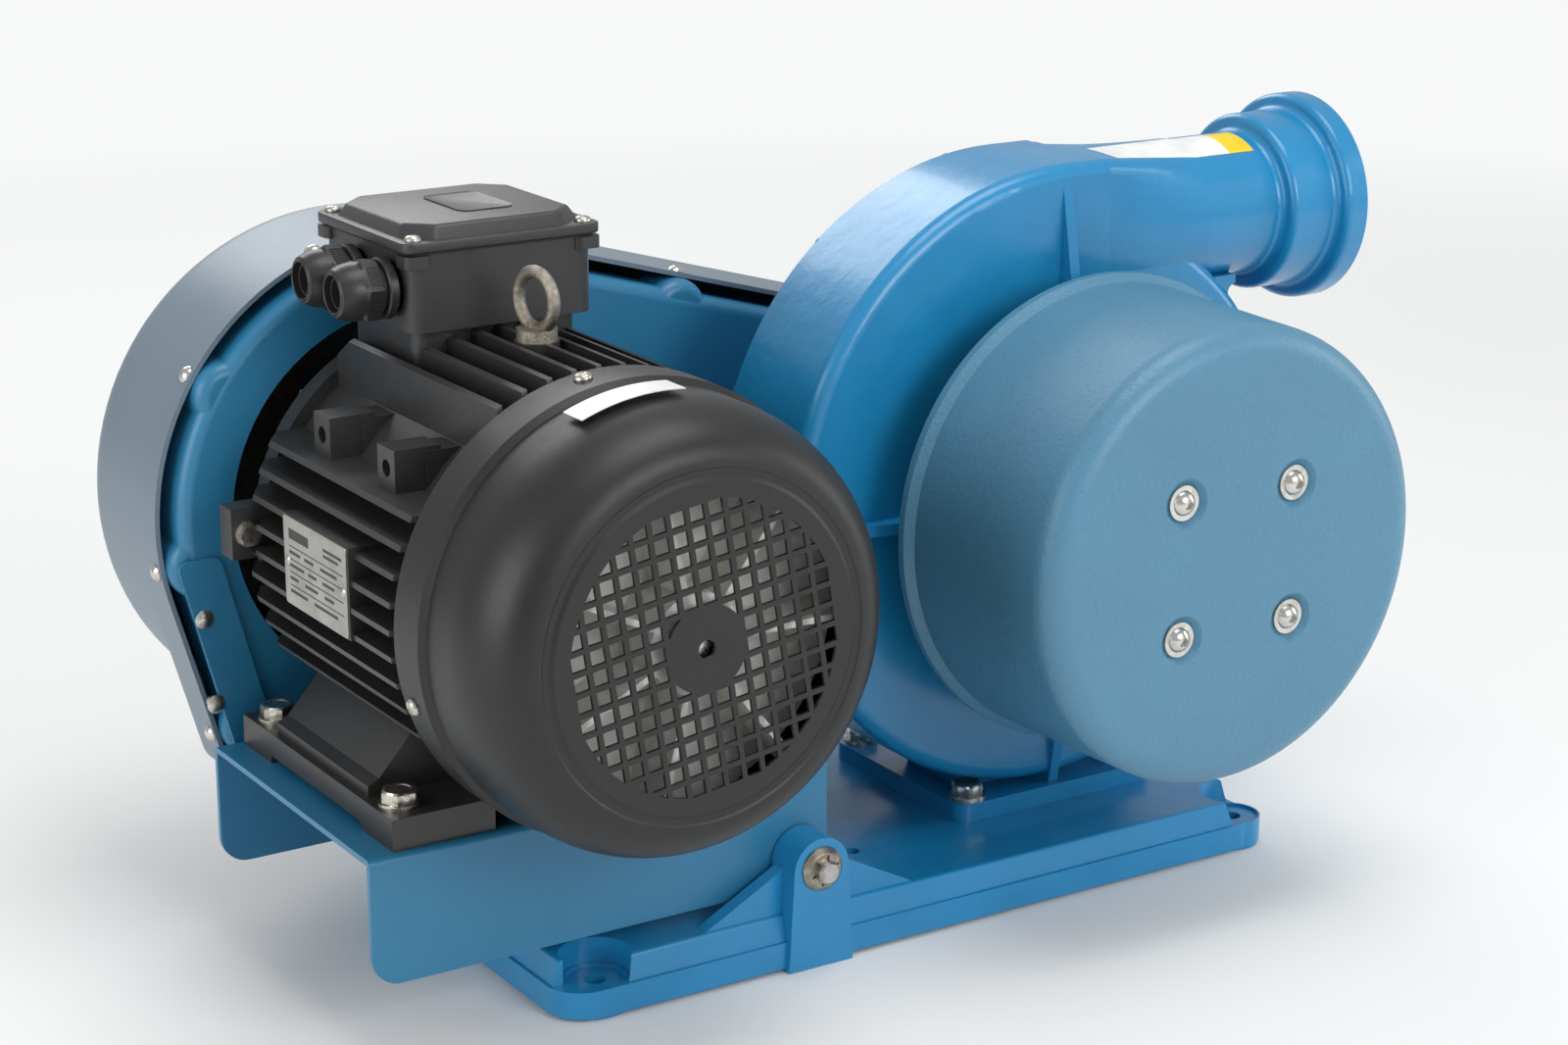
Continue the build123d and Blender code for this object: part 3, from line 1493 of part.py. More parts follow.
corner_span = hypot(guard_corner[0] - motor_x, guard_corner[1] - motor_z)
corner_lean = degrees(atan2(guard_corner[1] - motor_z, guard_corner[0] - motor_x)) % 360
left_normal = corner_lean - tangent_angle(guard_big_radius, guard_corner_radius, corner_span)
left_top = around(drive_axis, guard_big_radius, left_normal)
left_foot = around(guard_corner, guard_corner_radius, left_normal)
guard_bottom = guard_corner[1] - guard_corner_radius
guard_screws_at = [
    on_big_arc(109),
    on_big_arc(146.5),
    on_big_arc(189.5),
    (on_run(left_top, left_foot, 0.84), left_normal),
    ((guard_corner[0] + 70, guard_bottom), -90),
    (
        on_run(
            around(drive_axis, guard_big_radius, guard_normal_low),
            around(blower_axis, guard_small_radius, guard_normal_low),
            0.42,
        ),
        guard_normal_low,
    ),
    (around(blower_axis, guard_small_radius, 0), 0),
    (
        on_run(
            around(drive_axis, guard_big_radius, guard_normal),
            around(blower_axis, guard_small_radius, guard_normal),
            0.45,
        ),
        guard_normal,
    ),
]
hollow_front = panel_front + panel_sheet

with BuildPart() as guard_inner_panel:
    guard_outline(panel_inset, panel_front, panel_back)
    fillet(guard_inner_panel.faces().sort_by(Axis.Y)[0].edges(), radius=panel_edge)
    for point, normal in guard_screws_at:
        centre = around(point, bump_inset + bump_radius, normal + 180)
        button(centre, panel_front + 0.5, panel_back, bump_radius, panel_edge)
    guard_outline(panel_inset + panel_sheet, hollow_front, panel_back, mode=Mode.SUBTRACT)
    for point, normal in guard_screws_at:
        disc(
            around(point, bump_inset + bump_radius, normal + 180),
            hollow_front + panel_edge - panel_sheet,
            panel_back,
            bump_radius - panel_sheet,
            mode=Mode.SUBTRACT,
        )
    disc(drive_axis, panel_front - 1, panel_back, motor_opening, mode=Mode.SUBTRACT)
    disc(blower_axis, panel_front - 1, panel_back, housing_opening, mode=Mode.SUBTRACT)
    for angle in housing_screw_angles:
        spot = around(blower_axis, panel_screw_circle, angle)
        disc(spot, panel_front, hollow_front, 2.5 + bolt_play, mode=Mode.SUBTRACT)
    for point, normal in guard_screws_at:
        peg(
            radial(point, normal, -bump_inset - panel_sheet - 1, guard_screw_y),
            guard_screw_radius + shaft_fit,
            panel_sheet + 2,
            mode=Mode.SUBTRACT,
        )
    for spot in support_holes + rivet_holes:
        disc(spot, panel_front - 1, hollow_front + 1, 3 + shaft_fit, mode=Mode.SUBTRACT)
save(guard_inner_panel, "guard_inner_panel")

with BuildPart() as guard_room:
    guard_outline(guard_sheet, cover_front, cover_rear - guard_sheet, corner=False)
    fillet(guard_room.faces().sort_by(Axis.Y)[-1].edges(), radius=cover_edge - guard_sheet)
    guard_outline(guard_sheet, cover_front, skirt_rear - guard_sheet)

with BuildPart() as guard_outer_cover:
    guard_outline(0, cover_front, cover_rear, corner=False)
    fillet(guard_outer_cover.faces().sort_by(Axis.Y)[-1].edges(), radius=cover_edge)
    guard_outline(0, cover_front, skirt_rear)
    add(guard_room.part, mode=Mode.SUBTRACT)
    for point, normal in guard_screws_at:
        peg(
            radial(point, normal, -guard_sheet - 1, guard_screw_y),
            guard_screw_radius + bolt_play,
            guard_sheet + 2,
            mode=Mode.SUBTRACT,
        )
save(guard_outer_cover, "guard_outer_cover")

with BuildPart() as guard_screws:
    for point, normal in guard_screws_at:
        dome(radial(point, normal, 0.2, guard_screw_y), 4.6, 2.8)
        peg(
            radial(point, normal, -bump_inset - panel_sheet - 3, guard_screw_y),
            guard_screw_radius,
            bump_inset + panel_sheet + 3.4,
        )
save(guard_screws, "guard_screws")

with BuildPart() as guard_bracket:
    with BuildSketch(facing_front(panel_front)):
        with BuildLine():
            Polyline(
                bracket_top,
                (bracket_top[0] + bracket_width, bracket_top[1]),
                (bracket_foot[0] + bracket_width, bracket_foot[1]),
                bracket_foot,
                close=True,
            )
        make_face()
        fillet(vertices(), radius=4)
    extrude(amount=plate_sheet)
    for spot in rivet_holes:
        disc(spot, panel_front - 10, panel_front, 3 + shaft_fit, mode=Mode.SUBTRACT)
save(guard_bracket, "guard_bracket")

with BuildPart() as guard_rivets:
    for spot in rivet_holes:
        head = facing_front(panel_front - plate_sheet, *spot)
        dome(head, 5, 2)
        peg(head, 3, -plate_sheet - panel_sheet)
save(guard_rivets, "guard_rivets")

with BuildPart() as guard_support:
    block(
        (support_x - support_width / 2, support_front, platform_top),
        (support_x + support_width / 2, panel_front, platform_top + plate_sheet),
    )
    block(
        (support_x - support_width / 2, panel_front - plate_sheet, platform_top),
        (support_x + support_width / 2, panel_front, support_top),
    )
    for point in support_bolts:
        post(point, platform_top, platform_top + plate_sheet, 3 + bolt_play, mode=Mode.SUBTRACT)
    for spot in support_holes:
        disc(spot, panel_front - plate_sheet, panel_front, 3 + bolt_play, mode=Mode.SUBTRACT)
save(guard_support, "guard_support")

with BuildPart() as guard_support_bolts:
    for x, y in support_bolts:
        hexagon(up(x, y, platform_top + plate_sheet), 10, 4)
        peg(down(x, y, platform_top + plate_sheet), 3, plate_sheet + base_skin)
    for spot in support_holes:
        head = facing_front(panel_front - plate_sheet, *spot)
        hexagon(head, 10, 4)
        peg(head, 3, -plate_sheet - panel_sheet - 8)
        hexagon(facing_rear(hollow_front, *spot), 10, 5)
save(guard_support_bolts, "guard_support_bolts")

# Belts -------------------------------------------------------------------------------------

wrap = tangent_angle(drive_pitch_radius, driven_pitch_radius, guard_span)

with BuildPart() as drive_belts:
    for groove in range(groove_count):
        middle = pulley_front + 2 + groove_pitch * (groove + 0.5)
        with BuildLine(facing_front(middle)) as loop:
            Line(
                around(drive_axis, drive_pitch_radius, guard_lean + wrap),
                around(blower_axis, driven_pitch_radius, guard_lean + wrap),
            )
            CenterArc(blower_axis, driven_pitch_radius, guard_lean + wrap, -2 * wrap)
            Line(
                around(blower_axis, driven_pitch_radius, guard_lean - wrap),
                around(drive_axis, drive_pitch_radius, guard_lean - wrap),
            )
            CenterArc(drive_axis, drive_pitch_radius, guard_lean - wrap, 2 * wrap - 360)
        run = loop.line.edges().filter_by(GeomType.LINE).sort_by(Axis.Z)[-1]
        start = Plane(origin=run.position_at(0), x_dir=(0, 1, 0), z_dir=run.tangent_at(0))
        with BuildSketch(start) as section:
            with BuildLine():
                Polyline(
                    (-belt_top_width / 2, belt_above),
                    (belt_top_width / 2, belt_above),
                    (belt_bottom_width / 2, -belt_below),
                    (-belt_bottom_width / 2, -belt_below),
                    close=True,
                )
            make_face()
        sweep(section.sketch, path=loop.line)
save(drive_belts, "drive_belts")
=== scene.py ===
import json
import math

import bmesh
import bpy
from mathutils import Matrix, Vector
from mathutils.bvhtree import BVHTree


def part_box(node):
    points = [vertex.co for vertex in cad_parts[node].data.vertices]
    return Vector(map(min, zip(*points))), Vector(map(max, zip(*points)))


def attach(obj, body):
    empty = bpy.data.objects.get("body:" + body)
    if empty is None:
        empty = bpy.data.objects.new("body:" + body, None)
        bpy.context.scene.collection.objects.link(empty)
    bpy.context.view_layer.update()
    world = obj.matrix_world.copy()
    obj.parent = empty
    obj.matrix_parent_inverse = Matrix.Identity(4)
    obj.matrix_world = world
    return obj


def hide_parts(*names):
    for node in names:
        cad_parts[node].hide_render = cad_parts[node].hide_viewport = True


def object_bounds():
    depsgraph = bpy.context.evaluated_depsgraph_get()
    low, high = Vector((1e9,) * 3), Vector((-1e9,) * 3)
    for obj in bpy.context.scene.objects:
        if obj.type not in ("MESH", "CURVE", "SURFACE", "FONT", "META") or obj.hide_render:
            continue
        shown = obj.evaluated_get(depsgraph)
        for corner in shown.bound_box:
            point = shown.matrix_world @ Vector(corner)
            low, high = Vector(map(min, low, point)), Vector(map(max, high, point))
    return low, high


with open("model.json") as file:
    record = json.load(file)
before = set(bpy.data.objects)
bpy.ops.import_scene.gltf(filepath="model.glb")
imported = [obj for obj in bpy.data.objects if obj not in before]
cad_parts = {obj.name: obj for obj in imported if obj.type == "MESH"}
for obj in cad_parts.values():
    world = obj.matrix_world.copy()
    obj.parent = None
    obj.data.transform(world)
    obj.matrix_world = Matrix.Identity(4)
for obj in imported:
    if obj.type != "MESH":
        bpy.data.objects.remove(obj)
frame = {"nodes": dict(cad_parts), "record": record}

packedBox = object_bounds()
nodes = frame["nodes"]
scene = bpy.context.scene
print("frame loaded:", len(nodes), "nodes")

# Camera, floor and light
camera = {
    "place": (-0.8994, -1.3610, 0.6759),
    "azimuth": -32.5,
    "elevation": 16.52,
    "roll": 0.06,
    "lens": 73.7,
}
stage = {
    "floorSize": 40,
    "floorColour": (0.86, 0.86, 0.85),
    "backColour": (0.90, 0.905, 0.91),
    "backStart": 0.75,
    "backEnd": 2.4,
    "worldColour": (0.96, 0.98, 1.0),
    "worldStrength": 0.50,
}
lamps = [
    # name, place, aimed at, width, height, watts
    ("overheadBox", (0.1, -0.3, 2.0), (0.0, 0.0, 0.2), 1.2, 0.9, 14),
    ("leftBox", (-2.0, -0.2, 0.8), (0.0, 0.0, 0.2), 1.2, 1.2, 13),
    ("frontBox", (0.35, -2.3, 1.2), (0.0, 0.0, 0.2), 1.3, 1.0, 22),
    ("rightBox", (2.0, -0.9, 0.7), (0.1, 0.0, 0.2), 0.7, 1.3, 9),
    ("rearBox", (0.2, 2.0, 1.5), (0.0, 0.0, 0.25), 1.4, 0.8, 15),
]


def aim(thing, place, back, roll=0.0):
    turn = (-back).to_track_quat("-Z", "Y").to_matrix() @ Matrix.Rotation(roll, 3, "Z")
    thing.matrix_world = Matrix.Translation(place) @ turn.to_4x4()


def addCamera():
    lensData = bpy.data.cameras.new("camera")
    lensData.lens = camera["lens"]
    lensData.sensor_width = 36
    lensData.clip_start = 0.05
    thing = bpy.data.objects.new("camera", lensData)
    scene.collection.objects.link(thing)
    side = math.radians(camera["azimuth"])
    rise = math.radians(camera["elevation"])
    back = Vector((math.sin(side) * math.cos(rise), -math.cos(side) * math.cos(rise), math.sin(rise)))
    aim(thing, Vector(camera["place"]), back, math.radians(camera["roll"]))
    scene.camera = thing


def addLamps():
    for name, place, target, width, height, watts in lamps:
        lampData = bpy.data.lights.new(name, "AREA")
        lampData.shape = "RECTANGLE"
        lampData.size = width
        lampData.size_y = height
        lampData.energy = watts
        thing = bpy.data.objects.new(name, lampData)
        scene.collection.objects.link(thing)
        aim(thing, Vector(place), Vector(place) - Vector(target))
    world = bpy.data.worlds.new("studio")
    scene.world = world
    world.use_nodes = True
    world.node_tree.nodes["Background"].inputs["Color"].default_value = (*stage["worldColour"], 1)
    world.node_tree.nodes["Background"].inputs["Strength"].default_value = stage["worldStrength"]


addCamera()
addLamps()
scene.view_settings.view_transform = "Standard"
print("camera and lamps placed")


# Materials
class Value:
    # A socket or a number in a material's sums
    def __init__(self, paint, socket):
        self.paint = paint
        self.socket = socket

    def math(self, operation, first, second=None):
        inputs = {0: first} if second is None else {0: first, 1: second}
        return self.paint.node("ShaderNodeMath", {"operation": operation}, inputs)

    def __add__(self, other):
        return self.math("ADD", self, other)

    def __radd__(self, other):
        return self.math("ADD", other, self)

    def __sub__(self, other):
        return self.math("SUBTRACT", self, other)

    def __rsub__(self, other):
        return self.math("SUBTRACT", other, self)

    def __mul__(self, other):
        return self.math("MULTIPLY", self, other)

    def __rmul__(self, other):
        return self.math("MULTIPLY", other, self)


class Paint:
    # One material: its principled shader, and its nodes made by one method
    def __init__(self, name, **settings):
        self.material = bpy.data.materials.new(name)
        self.material.use_nodes = True
        self.tree = self.material.node_tree
        self.shader = self.tree.nodes["Principled BSDF"]
        for key, value in settings.items():
            self.shader.inputs[key.replace("_", " ")].default_value = value
        self.point = self.node("ShaderNodeTexCoord", output="Object")

    def node(self, kind, settings=None, inputs=None, output=0):
        made = self.tree.nodes.new(kind)
        for key, value in (settings or {}).items():
            setattr(made, key, value)
        for key, value in (inputs or {}).items():
            self.feed(made.inputs[key], value)
        return Value(self, made.outputs[output])

    def feed(self, socket, value):
        if isinstance(value, Value):
            self.tree.links.new(value.socket, socket)
        elif isinstance(value, tuple) and len(value) == 3 and socket.type == "RGBA":
            socket.default_value = (*value, 1)
        else:
            socket.default_value = value

    def surface(self, **sockets):
        for key, value in sockets.items():
            self.feed(self.shader.inputs[key.replace("_", " ")], value)

    def noise(self, size, detail=3.0, roughness=0.55, stretch=(1, 1, 1), warp=0.0):
        where = self.stretched(stretch)
        inputs = {"Vector": where, "Scale": 1 / size, "Detail": detail}
        inputs |= {"Roughness": roughness, "Distortion": warp}
        return self.node("ShaderNodeTexNoise", None, inputs)

    def cells(self, size, feature="F1"):
        inputs = {"Vector": self.point, "Scale": 1 / size}
        return self.node("ShaderNodeTexVoronoi", {"feature": feature}, inputs, "Distance")

    def stretched(self, stretch):
        if stretch == (1, 1, 1):
            return self.point
        return self.node("ShaderNodeVectorMath", {"operation": "MULTIPLY"}, {0: self.point, 1: stretch})

    def ramp(self, value, low, high, start=0.0, end=1.0):
        inputs = {"Value": value, "From Min": low, "From Max": high, "To Min": start, "To Max": end}
        return self.node("ShaderNodeMapRange", {"clamp": True}, inputs)

    def mix(self, share, first, second):
        settings = {"data_type": "RGBA"}
        return self.node("ShaderNodeMix", settings, {0: share, 6: first, 7: second}, 2)

    def axis(self, letter):
        return self.node("ShaderNodeSeparateXYZ", None, {0: self.point}, letter)

    def bump(self, height, depth, strength=1.0):
        inputs = {"Strength": strength, "Distance": depth, "Height": height}
        self.surface(Normal=self.node("ShaderNodeBump", None, inputs))


def shade(colour, factor):
    return tuple(channel * factor for channel in colour)


def castPaint(name, look):
    # gloss enamel over sand-cast iron: soft lumps, fine grain and small dark specks where the fine grain
    # is high
    paint = Paint(name, Coat_Weight=look["coat"], Coat_Roughness=look["coatRough"], Specular_IOR_Level=0.5)
    lumps = paint.noise(0.011, 2.0)
    grain = paint.noise(0.0016, 4.0, 0.6)
    cloud = paint.ramp(paint.noise(0.06, 3.0), 0.35, 0.65)
    colour = paint.mix(cloud, shade(look["colour"], 0.93), shade(look["colour"], 1.06))
    # small specks where the fine grain is high, darkened towards 0.55 of the paint colour
    darkSpecks = paint.ramp(grain, 0.62, 0.74)
    colour = paint.mix(darkSpecks * 0.25, colour, shade(look["colour"], 0.55))
    paint.surface(Base_Color=colour, Roughness=look["rough"] + (grain - 0.5) * 0.22)
    paint.bump(lumps * look["lumps"] + grain * look["grain"], 0.001)
    return paint


def sheetPaint(name, look):
    # sprayed paint on sheet or a smooth casting: orange peel and a little uneven gloss
    paint = Paint(name, Coat_Weight=look["coat"], Coat_Roughness=look["coatRough"])
    peel = paint.noise(look["peelSize"], 2.5, 0.5)
    cloud = paint.ramp(paint.noise(0.09, 3.0), 0.35, 0.65)
    dust = paint.ramp(paint.noise(0.0035, 5.0, 0.7), 0.66, 0.8)
    colour = paint.mix(cloud, shade(look["colour"], 0.95), shade(look["colour"], 1.05))
    colour = paint.mix(dust * look["dust"], colour, (0.55, 0.57, 0.58))
    paint.surface(Base_Color=colour, Roughness=look["rough"] + (cloud - 0.5) * 0.06 + (peel - 0.5) * 0.1)
    paint.bump(peel, look["peelDepth"])
    return paint


def leatherPaint(name, look):
    # textured powder coat, wrinkled like leather, with painted shade in the creases
    paint = Paint(name, Coat_Weight=look["coat"], Coat_Roughness=0.35)
    wrinkles = paint.cells(look["cell"], "SMOOTH_F1")
    fine = paint.noise(look["cell"] * 0.5, 3.0, 0.6)
    cloud = paint.ramp(paint.noise(0.08, 3.0), 0.35, 0.65)
    crease = paint.ramp(wrinkles, 0.45, 0.8)
    colour = paint.mix(cloud, shade(look["colour"], 0.96), shade(look["colour"], 1.04))
    # painted shade: the colour is darkened in the wrinkles' creases, where the bump sinks
    colour = paint.mix(crease * 0.22, colour, shade(look["colour"], 0.6))
    paint.surface(Base_Color=colour, Roughness=look["rough"] + crease * 0.08 + (fine - 0.5) * 0.08)
    paint.bump(fine * 0.5 - wrinkles, look["depth"])
    return paint


def mouldedPlastic(name, look):
    paint = Paint(name)
    stipple = paint.noise(0.0007, 3.0, 0.6)
    cloud = paint.ramp(paint.noise(0.02, 3.0), 0.35, 0.65)
    colour = paint.mix(cloud, shade(look["colour"], 0.9), shade(look["colour"], 1.08))
    paint.surface(Base_Color=colour, Roughness=look["rough"] + (stipple - 0.5) * 0.2)
    paint.bump(stipple, look["depth"])
    return paint


def barMetal(name, look):
    # bare or plated steel: fine drawn lines, mottled plating and small stains
    paint = Paint(name, Metallic=1.0)
    lines = paint.noise(0.0009, 4.0, 0.65, look.get("stretch", (1, 1, 1)))
    stain = paint.ramp(paint.noise(look["mottle"], 4.0, 0.6, warp=0.6), 0.42, 0.72)
    colour = paint.mix(stain, look["colour"], look["stain"])
    rough = look["rough"] + stain * look["stainRough"] + (lines - 0.5) * 0.18
    paint.surface(Base_Color=colour, Roughness=rough)
    paint.bump(lines, look["depth"])
    return paint


def foamFinish(name, look):
    paint = Paint(name)
    pores = paint.cells(0.0022, "F1")
    # painted shade: the colour falls to a quarter at the pores' centres, where the bump sinks
    colour = paint.mix(paint.ramp(pores, 0.1, 0.7), shade(look["colour"], 0.25), look["colour"])
    paint.surface(Base_Color=colour, Roughness=0.95 - pores * 0.1)
    paint.bump(pores, 0.0012)
    return paint


def windingFinish(name, look):
    # lacquered copper turns round the core
    paint = Paint(name, Coat_Weight=0.6, Coat_Roughness=0.15)
    turns = paint.noise(0.0011, 2.0, 0.5, (1, 0.12, 1))
    colour = paint.mix(paint.ramp(turns, 0.35, 0.65), shade(look["colour"], 0.35), look["colour"])
    paint.surface(Base_Color=colour, Roughness=0.4 + turns * 0.2, Metallic=0.85)
    paint.bump(turns, 0.0006)
    return paint


def laminatedFinish(name, look):
    # stacked core sheets, edge on, along Y
    paint = Paint(name)
    along = paint.axis("Y")
    sheets = paint.node("ShaderNodeMath", {"operation": "PINGPONG"}, {0: along, 1: 0.00035})
    lines = paint.ramp(sheets, 0.0, 0.00012)
    rust = paint.ramp(paint.noise(0.012, 4.0), 0.55, 0.75)
    colour = paint.mix(lines, shade(look["colour"], 0.35), look["colour"])
    colour = paint.mix(rust * 0.4, colour, (0.2, 0.11, 0.06))
    paint.surface(Base_Color=colour, Roughness=0.5 + rust * 0.25, Metallic=0.7)
    paint.bump(lines, 0.0002)
    return paint


finishes = {
    "casting_blue": (castPaint, {
        "colour": (0.010, 0.225, 0.470), "rough": 0.32, "coat": 0.35, "coatRough": 0.16,
        "lumps": 0.35, "grain": 0.06,
    }),
    "sheet_blue": (sheetPaint, {
        "colour": (0.022, 0.180, 0.335), "rough": 0.38, "coat": 0.2, "coatRough": 0.25,
        "peelSize": 0.0026, "peelDepth": 0.00009, "dust": 0.05,
    }),
    # greyed cover paint: partly the cover's own blue-grey, partly a painted reflection of light from the
    # left
    "cover_blue": (sheetPaint, {
        "colour": (0.150, 0.200, 0.250), "rough": 0.42, "coat": 0.2, "coatRough": 0.3,
        "peelSize": 0.0014, "peelDepth": 0.00012, "dust": 0.08,
    }),
    "drum_blue": (leatherPaint, {
        "colour": (0.075, 0.225, 0.345), "rough": 0.40, "coat": 0.2, "cell": 0.0017, "depth": 0.00022,
    }),
    "motor_black": (castPaint, {
        "colour": (0.030, 0.029, 0.028), "rough": 0.42, "coat": 0.15, "coatRough": 0.3, "lumps": 0.18,
        "grain": 0.09,
    }),
    "cowl_black": (sheetPaint, {
        "colour": (0.011, 0.011, 0.011), "rough": 0.42, "coat": 0.0, "coatRough": 0.25,
        "peelSize": 0.0022, "peelDepth": 0.00006, "dust": 0.05,
    }),
    "box_grey": (castPaint, {
        "colour": (0.032, 0.032, 0.033), "rough": 0.42, "coat": 0.1, "coatRough": 0.3, "lumps": 0.12,
        "grain": 0.1,
    }),
    "black_rubber": (mouldedPlastic, {"colour": (0.018, 0.018, 0.018), "rough": 0.7, "depth": 0.00012}),
    "gland_plastic": (mouldedPlastic, {"colour": (0.022, 0.022, 0.023), "rough": 0.38, "depth": 0.00005}),
    # beige-white fan: partly its own colour, partly painted light, made paler to stand in for light the
    # cowl keeps out
    "fan_plastic": (mouldedPlastic, {"colour": (0.86, 0.84, 0.79), "rough": 0.5, "depth": 0.00008}),
    "block_plastic": (mouldedPlastic, {"colour": (0.7, 0.69, 0.64), "rough": 0.3, "depth": 0.00003}),
    "zinc_steel": (barMetal, {
        "colour": (0.62, 0.60, 0.54), "stain": (0.40, 0.37, 0.30), "mottle": 0.005, "rough": 0.26,
        "stainRough": 0.2, "depth": 0.00003,
    }),
    "stainless": (barMetal, {
        "colour": (0.70, 0.68, 0.64), "stain": (0.52, 0.49, 0.44), "mottle": 0.006, "rough": 0.2,
        "stainRough": 0.12, "depth": 0.00002,
    }),
    "ground_steel": (barMetal, {
        "colour": (0.55, 0.54, 0.52), "stain": (0.36, 0.32, 0.27), "mottle": 0.008, "rough": 0.2,
        "stainRough": 0.25, "depth": 0.00002,
    }),
    "cap_steel": (barMetal, {
        "colour": (0.42, 0.38, 0.31), "stain": (0.22, 0.18, 0.13), "mottle": 0.004, "rough": 0.3,
        "stainRough": 0.3, "depth": 0.00006,
    }),
    "eye_nickel": (barMetal, {
        "colour": (0.42, 0.38, 0.32), "stain": (0.24, 0.21, 0.17), "mottle": 0.003, "rough": 0.34,
        "stainRough": 0.25, "depth": 0.0005,
    }),
    "plate_silver": (barMetal, {
        "colour": (0.47, 0.455, 0.42), "stain": (0.38, 0.36, 0.33), "mottle": 0.02, "rough": 0.36,
        "stainRough": 0.1, "depth": 0.00003, "stretch": (1, 0.1, 1),
    }),
    "foam_grey": (foamFinish, {"colour": (0.12, 0.12, 0.13)}),
    "winding_copper": (windingFinish, {"colour": (0.5, 0.2, 0.07)}),
    "core_steel": (laminatedFinish, {"colour": (0.3, 0.3, 0.31)}),
    "impeller_alloy": (barMetal, {
        "colour": (0.62, 0.62, 0.61), "stain": (0.45, 0.45, 0.44), "mottle": 0.01, "rough": 0.45,
        "stainRough": 0.15, "depth": 0.0002,
    }),
    "pulley_iron": (barMetal, {
        "colour": (0.22, 0.21, 0.20), "stain": (0.14, 0.10, 0.07), "mottle": 0.009, "rough": 0.42,
        "stainRough": 0.25, "depth": 0.00006,
    }),
}
paints = {slot: build(slot, look) for slot, (build, look) in finishes.items()}
for part in frame["record"]["subparts"]:
    mesh = nodes[part["node"]].data
    mesh.materials.clear()
    mesh.materials.append(paints[part["material_slot"]].material)
print("materials made:", len(paints))


def addFloor():
    # pale paper, wide enough to fill every view
    paint = Paint("floorPaper")
    cloud = paint.ramp(paint.noise(0.8, 2.0), 0.3, 0.7)
    colour = paint.mix(cloud, shade(stage["floorColour"], 0.985), stage["floorColour"])
    # far from the object the camera sees an even pale backdrop
    away = paint.node("ShaderNodeVectorMath", {"operation": "LENGTH"}, {0: paint.point}, "Value")
    cameraRay = paint.node("ShaderNodeLightPath", output="Is Camera Ray")
    seen = paint.ramp(away, stage["backStart"], stage["backEnd"]) * cameraRay
    paint.surface(Base_Color=paint.mix(seen, colour, (0, 0, 0)), Roughness=0.85 + cloud * 0.05)
    paint.surface(Emission_Color=paint.mix(seen, (0, 0, 0), stage["backColour"]), Emission_Strength=1.0)
    bm = bmesh.new()
    bmesh.ops.create_grid(bm, x_segments=1, y_segments=1, size=stage["floorSize"] / 2)
    mesh = bpy.data.meshes.new("floor")
    bm.to_mesh(mesh)
    bm.free()
    mesh.materials.append(paint.material)
    floor = bpy.data.objects.new("floor", mesh)
    scene.collection.objects.link(floor)
    floor.location.z = packedBox[0].z - 0.0003


addFloor()
print("floor laid")

# Mesh helpers
def roundOutline(angle):
    return 1.0


def hexOutline(angle):
    return math.cos(math.pi / 6) / math.cos(angle % (math.pi / 3) - math.pi / 6)


def crossOutline(angle):
    # a plus sign whose arms are 0.26 of their reach wide on each side
    across, along = abs(math.sin(angle)), abs(math.cos(angle))
    nearArm, farArm = min(across, along), max(across, along)
    return max(0.26 / max(farArm, 1e-6), min(1 / max(farArm, 1e-6), 0.26 / max(nearArm, 1e-6)))


def standing(point, direction, spin=0.0):
    # a matrix whose Z axis points along direction, with its origin at point
    turn = Vector(direction).to_track_quat("Z", "Y").to_matrix().to_4x4()
    return Matrix.Translation(point) @ turn @ Matrix.Rotation(spin, 4, "Z")


def turnRings(bm, matrix, rings, count=24):
    # rings of (radius, height, outline) joined from first to last, with both ends closed
    start = bmesh.ops.create_circle(bm, cap_ends=False, radius=1, segments=count)["verts"]
    loop = {vert: math.atan2(vert.co.y, vert.co.x) for vert in start}
    edges = list({edge for vert in start for edge in vert.link_edges})
    made = list(start)
    for number, (radius, height, outline) in enumerate(rings):
        if number:
            angles = {tuple(vert.co): angle for vert, angle in loop.items()}
            grown = bmesh.ops.extrude_edge_only(bm, edges=edges)["geom"]
            edges = [item for item in grown if isinstance(item, bmesh.types.BMEdge)]
            fresh = [item for item in grown if isinstance(item, bmesh.types.BMVert)]
            edges = [edge for edge in edges if all(vert in fresh for vert in edge.verts)]
            loop = {vert: angles[tuple(vert.co)] for vert in fresh}
            made += fresh
        else:
            bottom = edges
        for vert, angle in loop.items():
            reach = radius * outline(angle)
            vert.co = Vector((reach * math.cos(angle), reach * math.sin(angle), height))
    bmesh.ops.edgeloop_fill(bm, edges=bottom)
    bmesh.ops.edgeloop_fill(bm, edges=edges)
    bmesh.ops.transform(bm, matrix=matrix, verts=made)
    return made


def addBlock(bm, low, high, corner=0.0, edge=0.0, steps=4):
    # a block with rounded upright corners and softer level edges
    size = Vector(high) - Vector(low)
    middle = (Vector(high) + Vector(low)) / 2
    matrix = Matrix.Translation(middle) @ Matrix.Diagonal((*size, 1))
    verts = bmesh.ops.create_cube(bm, size=1, matrix=matrix)["verts"]
    if corner:
        edges = {item for vert in verts for item in vert.link_edges}
        upright = [item for item in edges if abs(item.verts[0].co.z - item.verts[1].co.z) > size.z / 2]
        made = bevelEdges(bm, upright, corner, steps)
        verts = list({vert for face in made for vert in face.verts} | {v for v in verts if v.is_valid})
    if edge:
        faces = {face for vert in verts for face in vert.link_faces}
        level = {
            item for face in faces if abs(face.normal.z) > 0.9 for item in face.edges
        }
        made = bevelEdges(bm, list(level), edge, 3)
        verts = list({vert for face in made for vert in face.verts} | {v for v in verts if v.is_valid})
    return verts


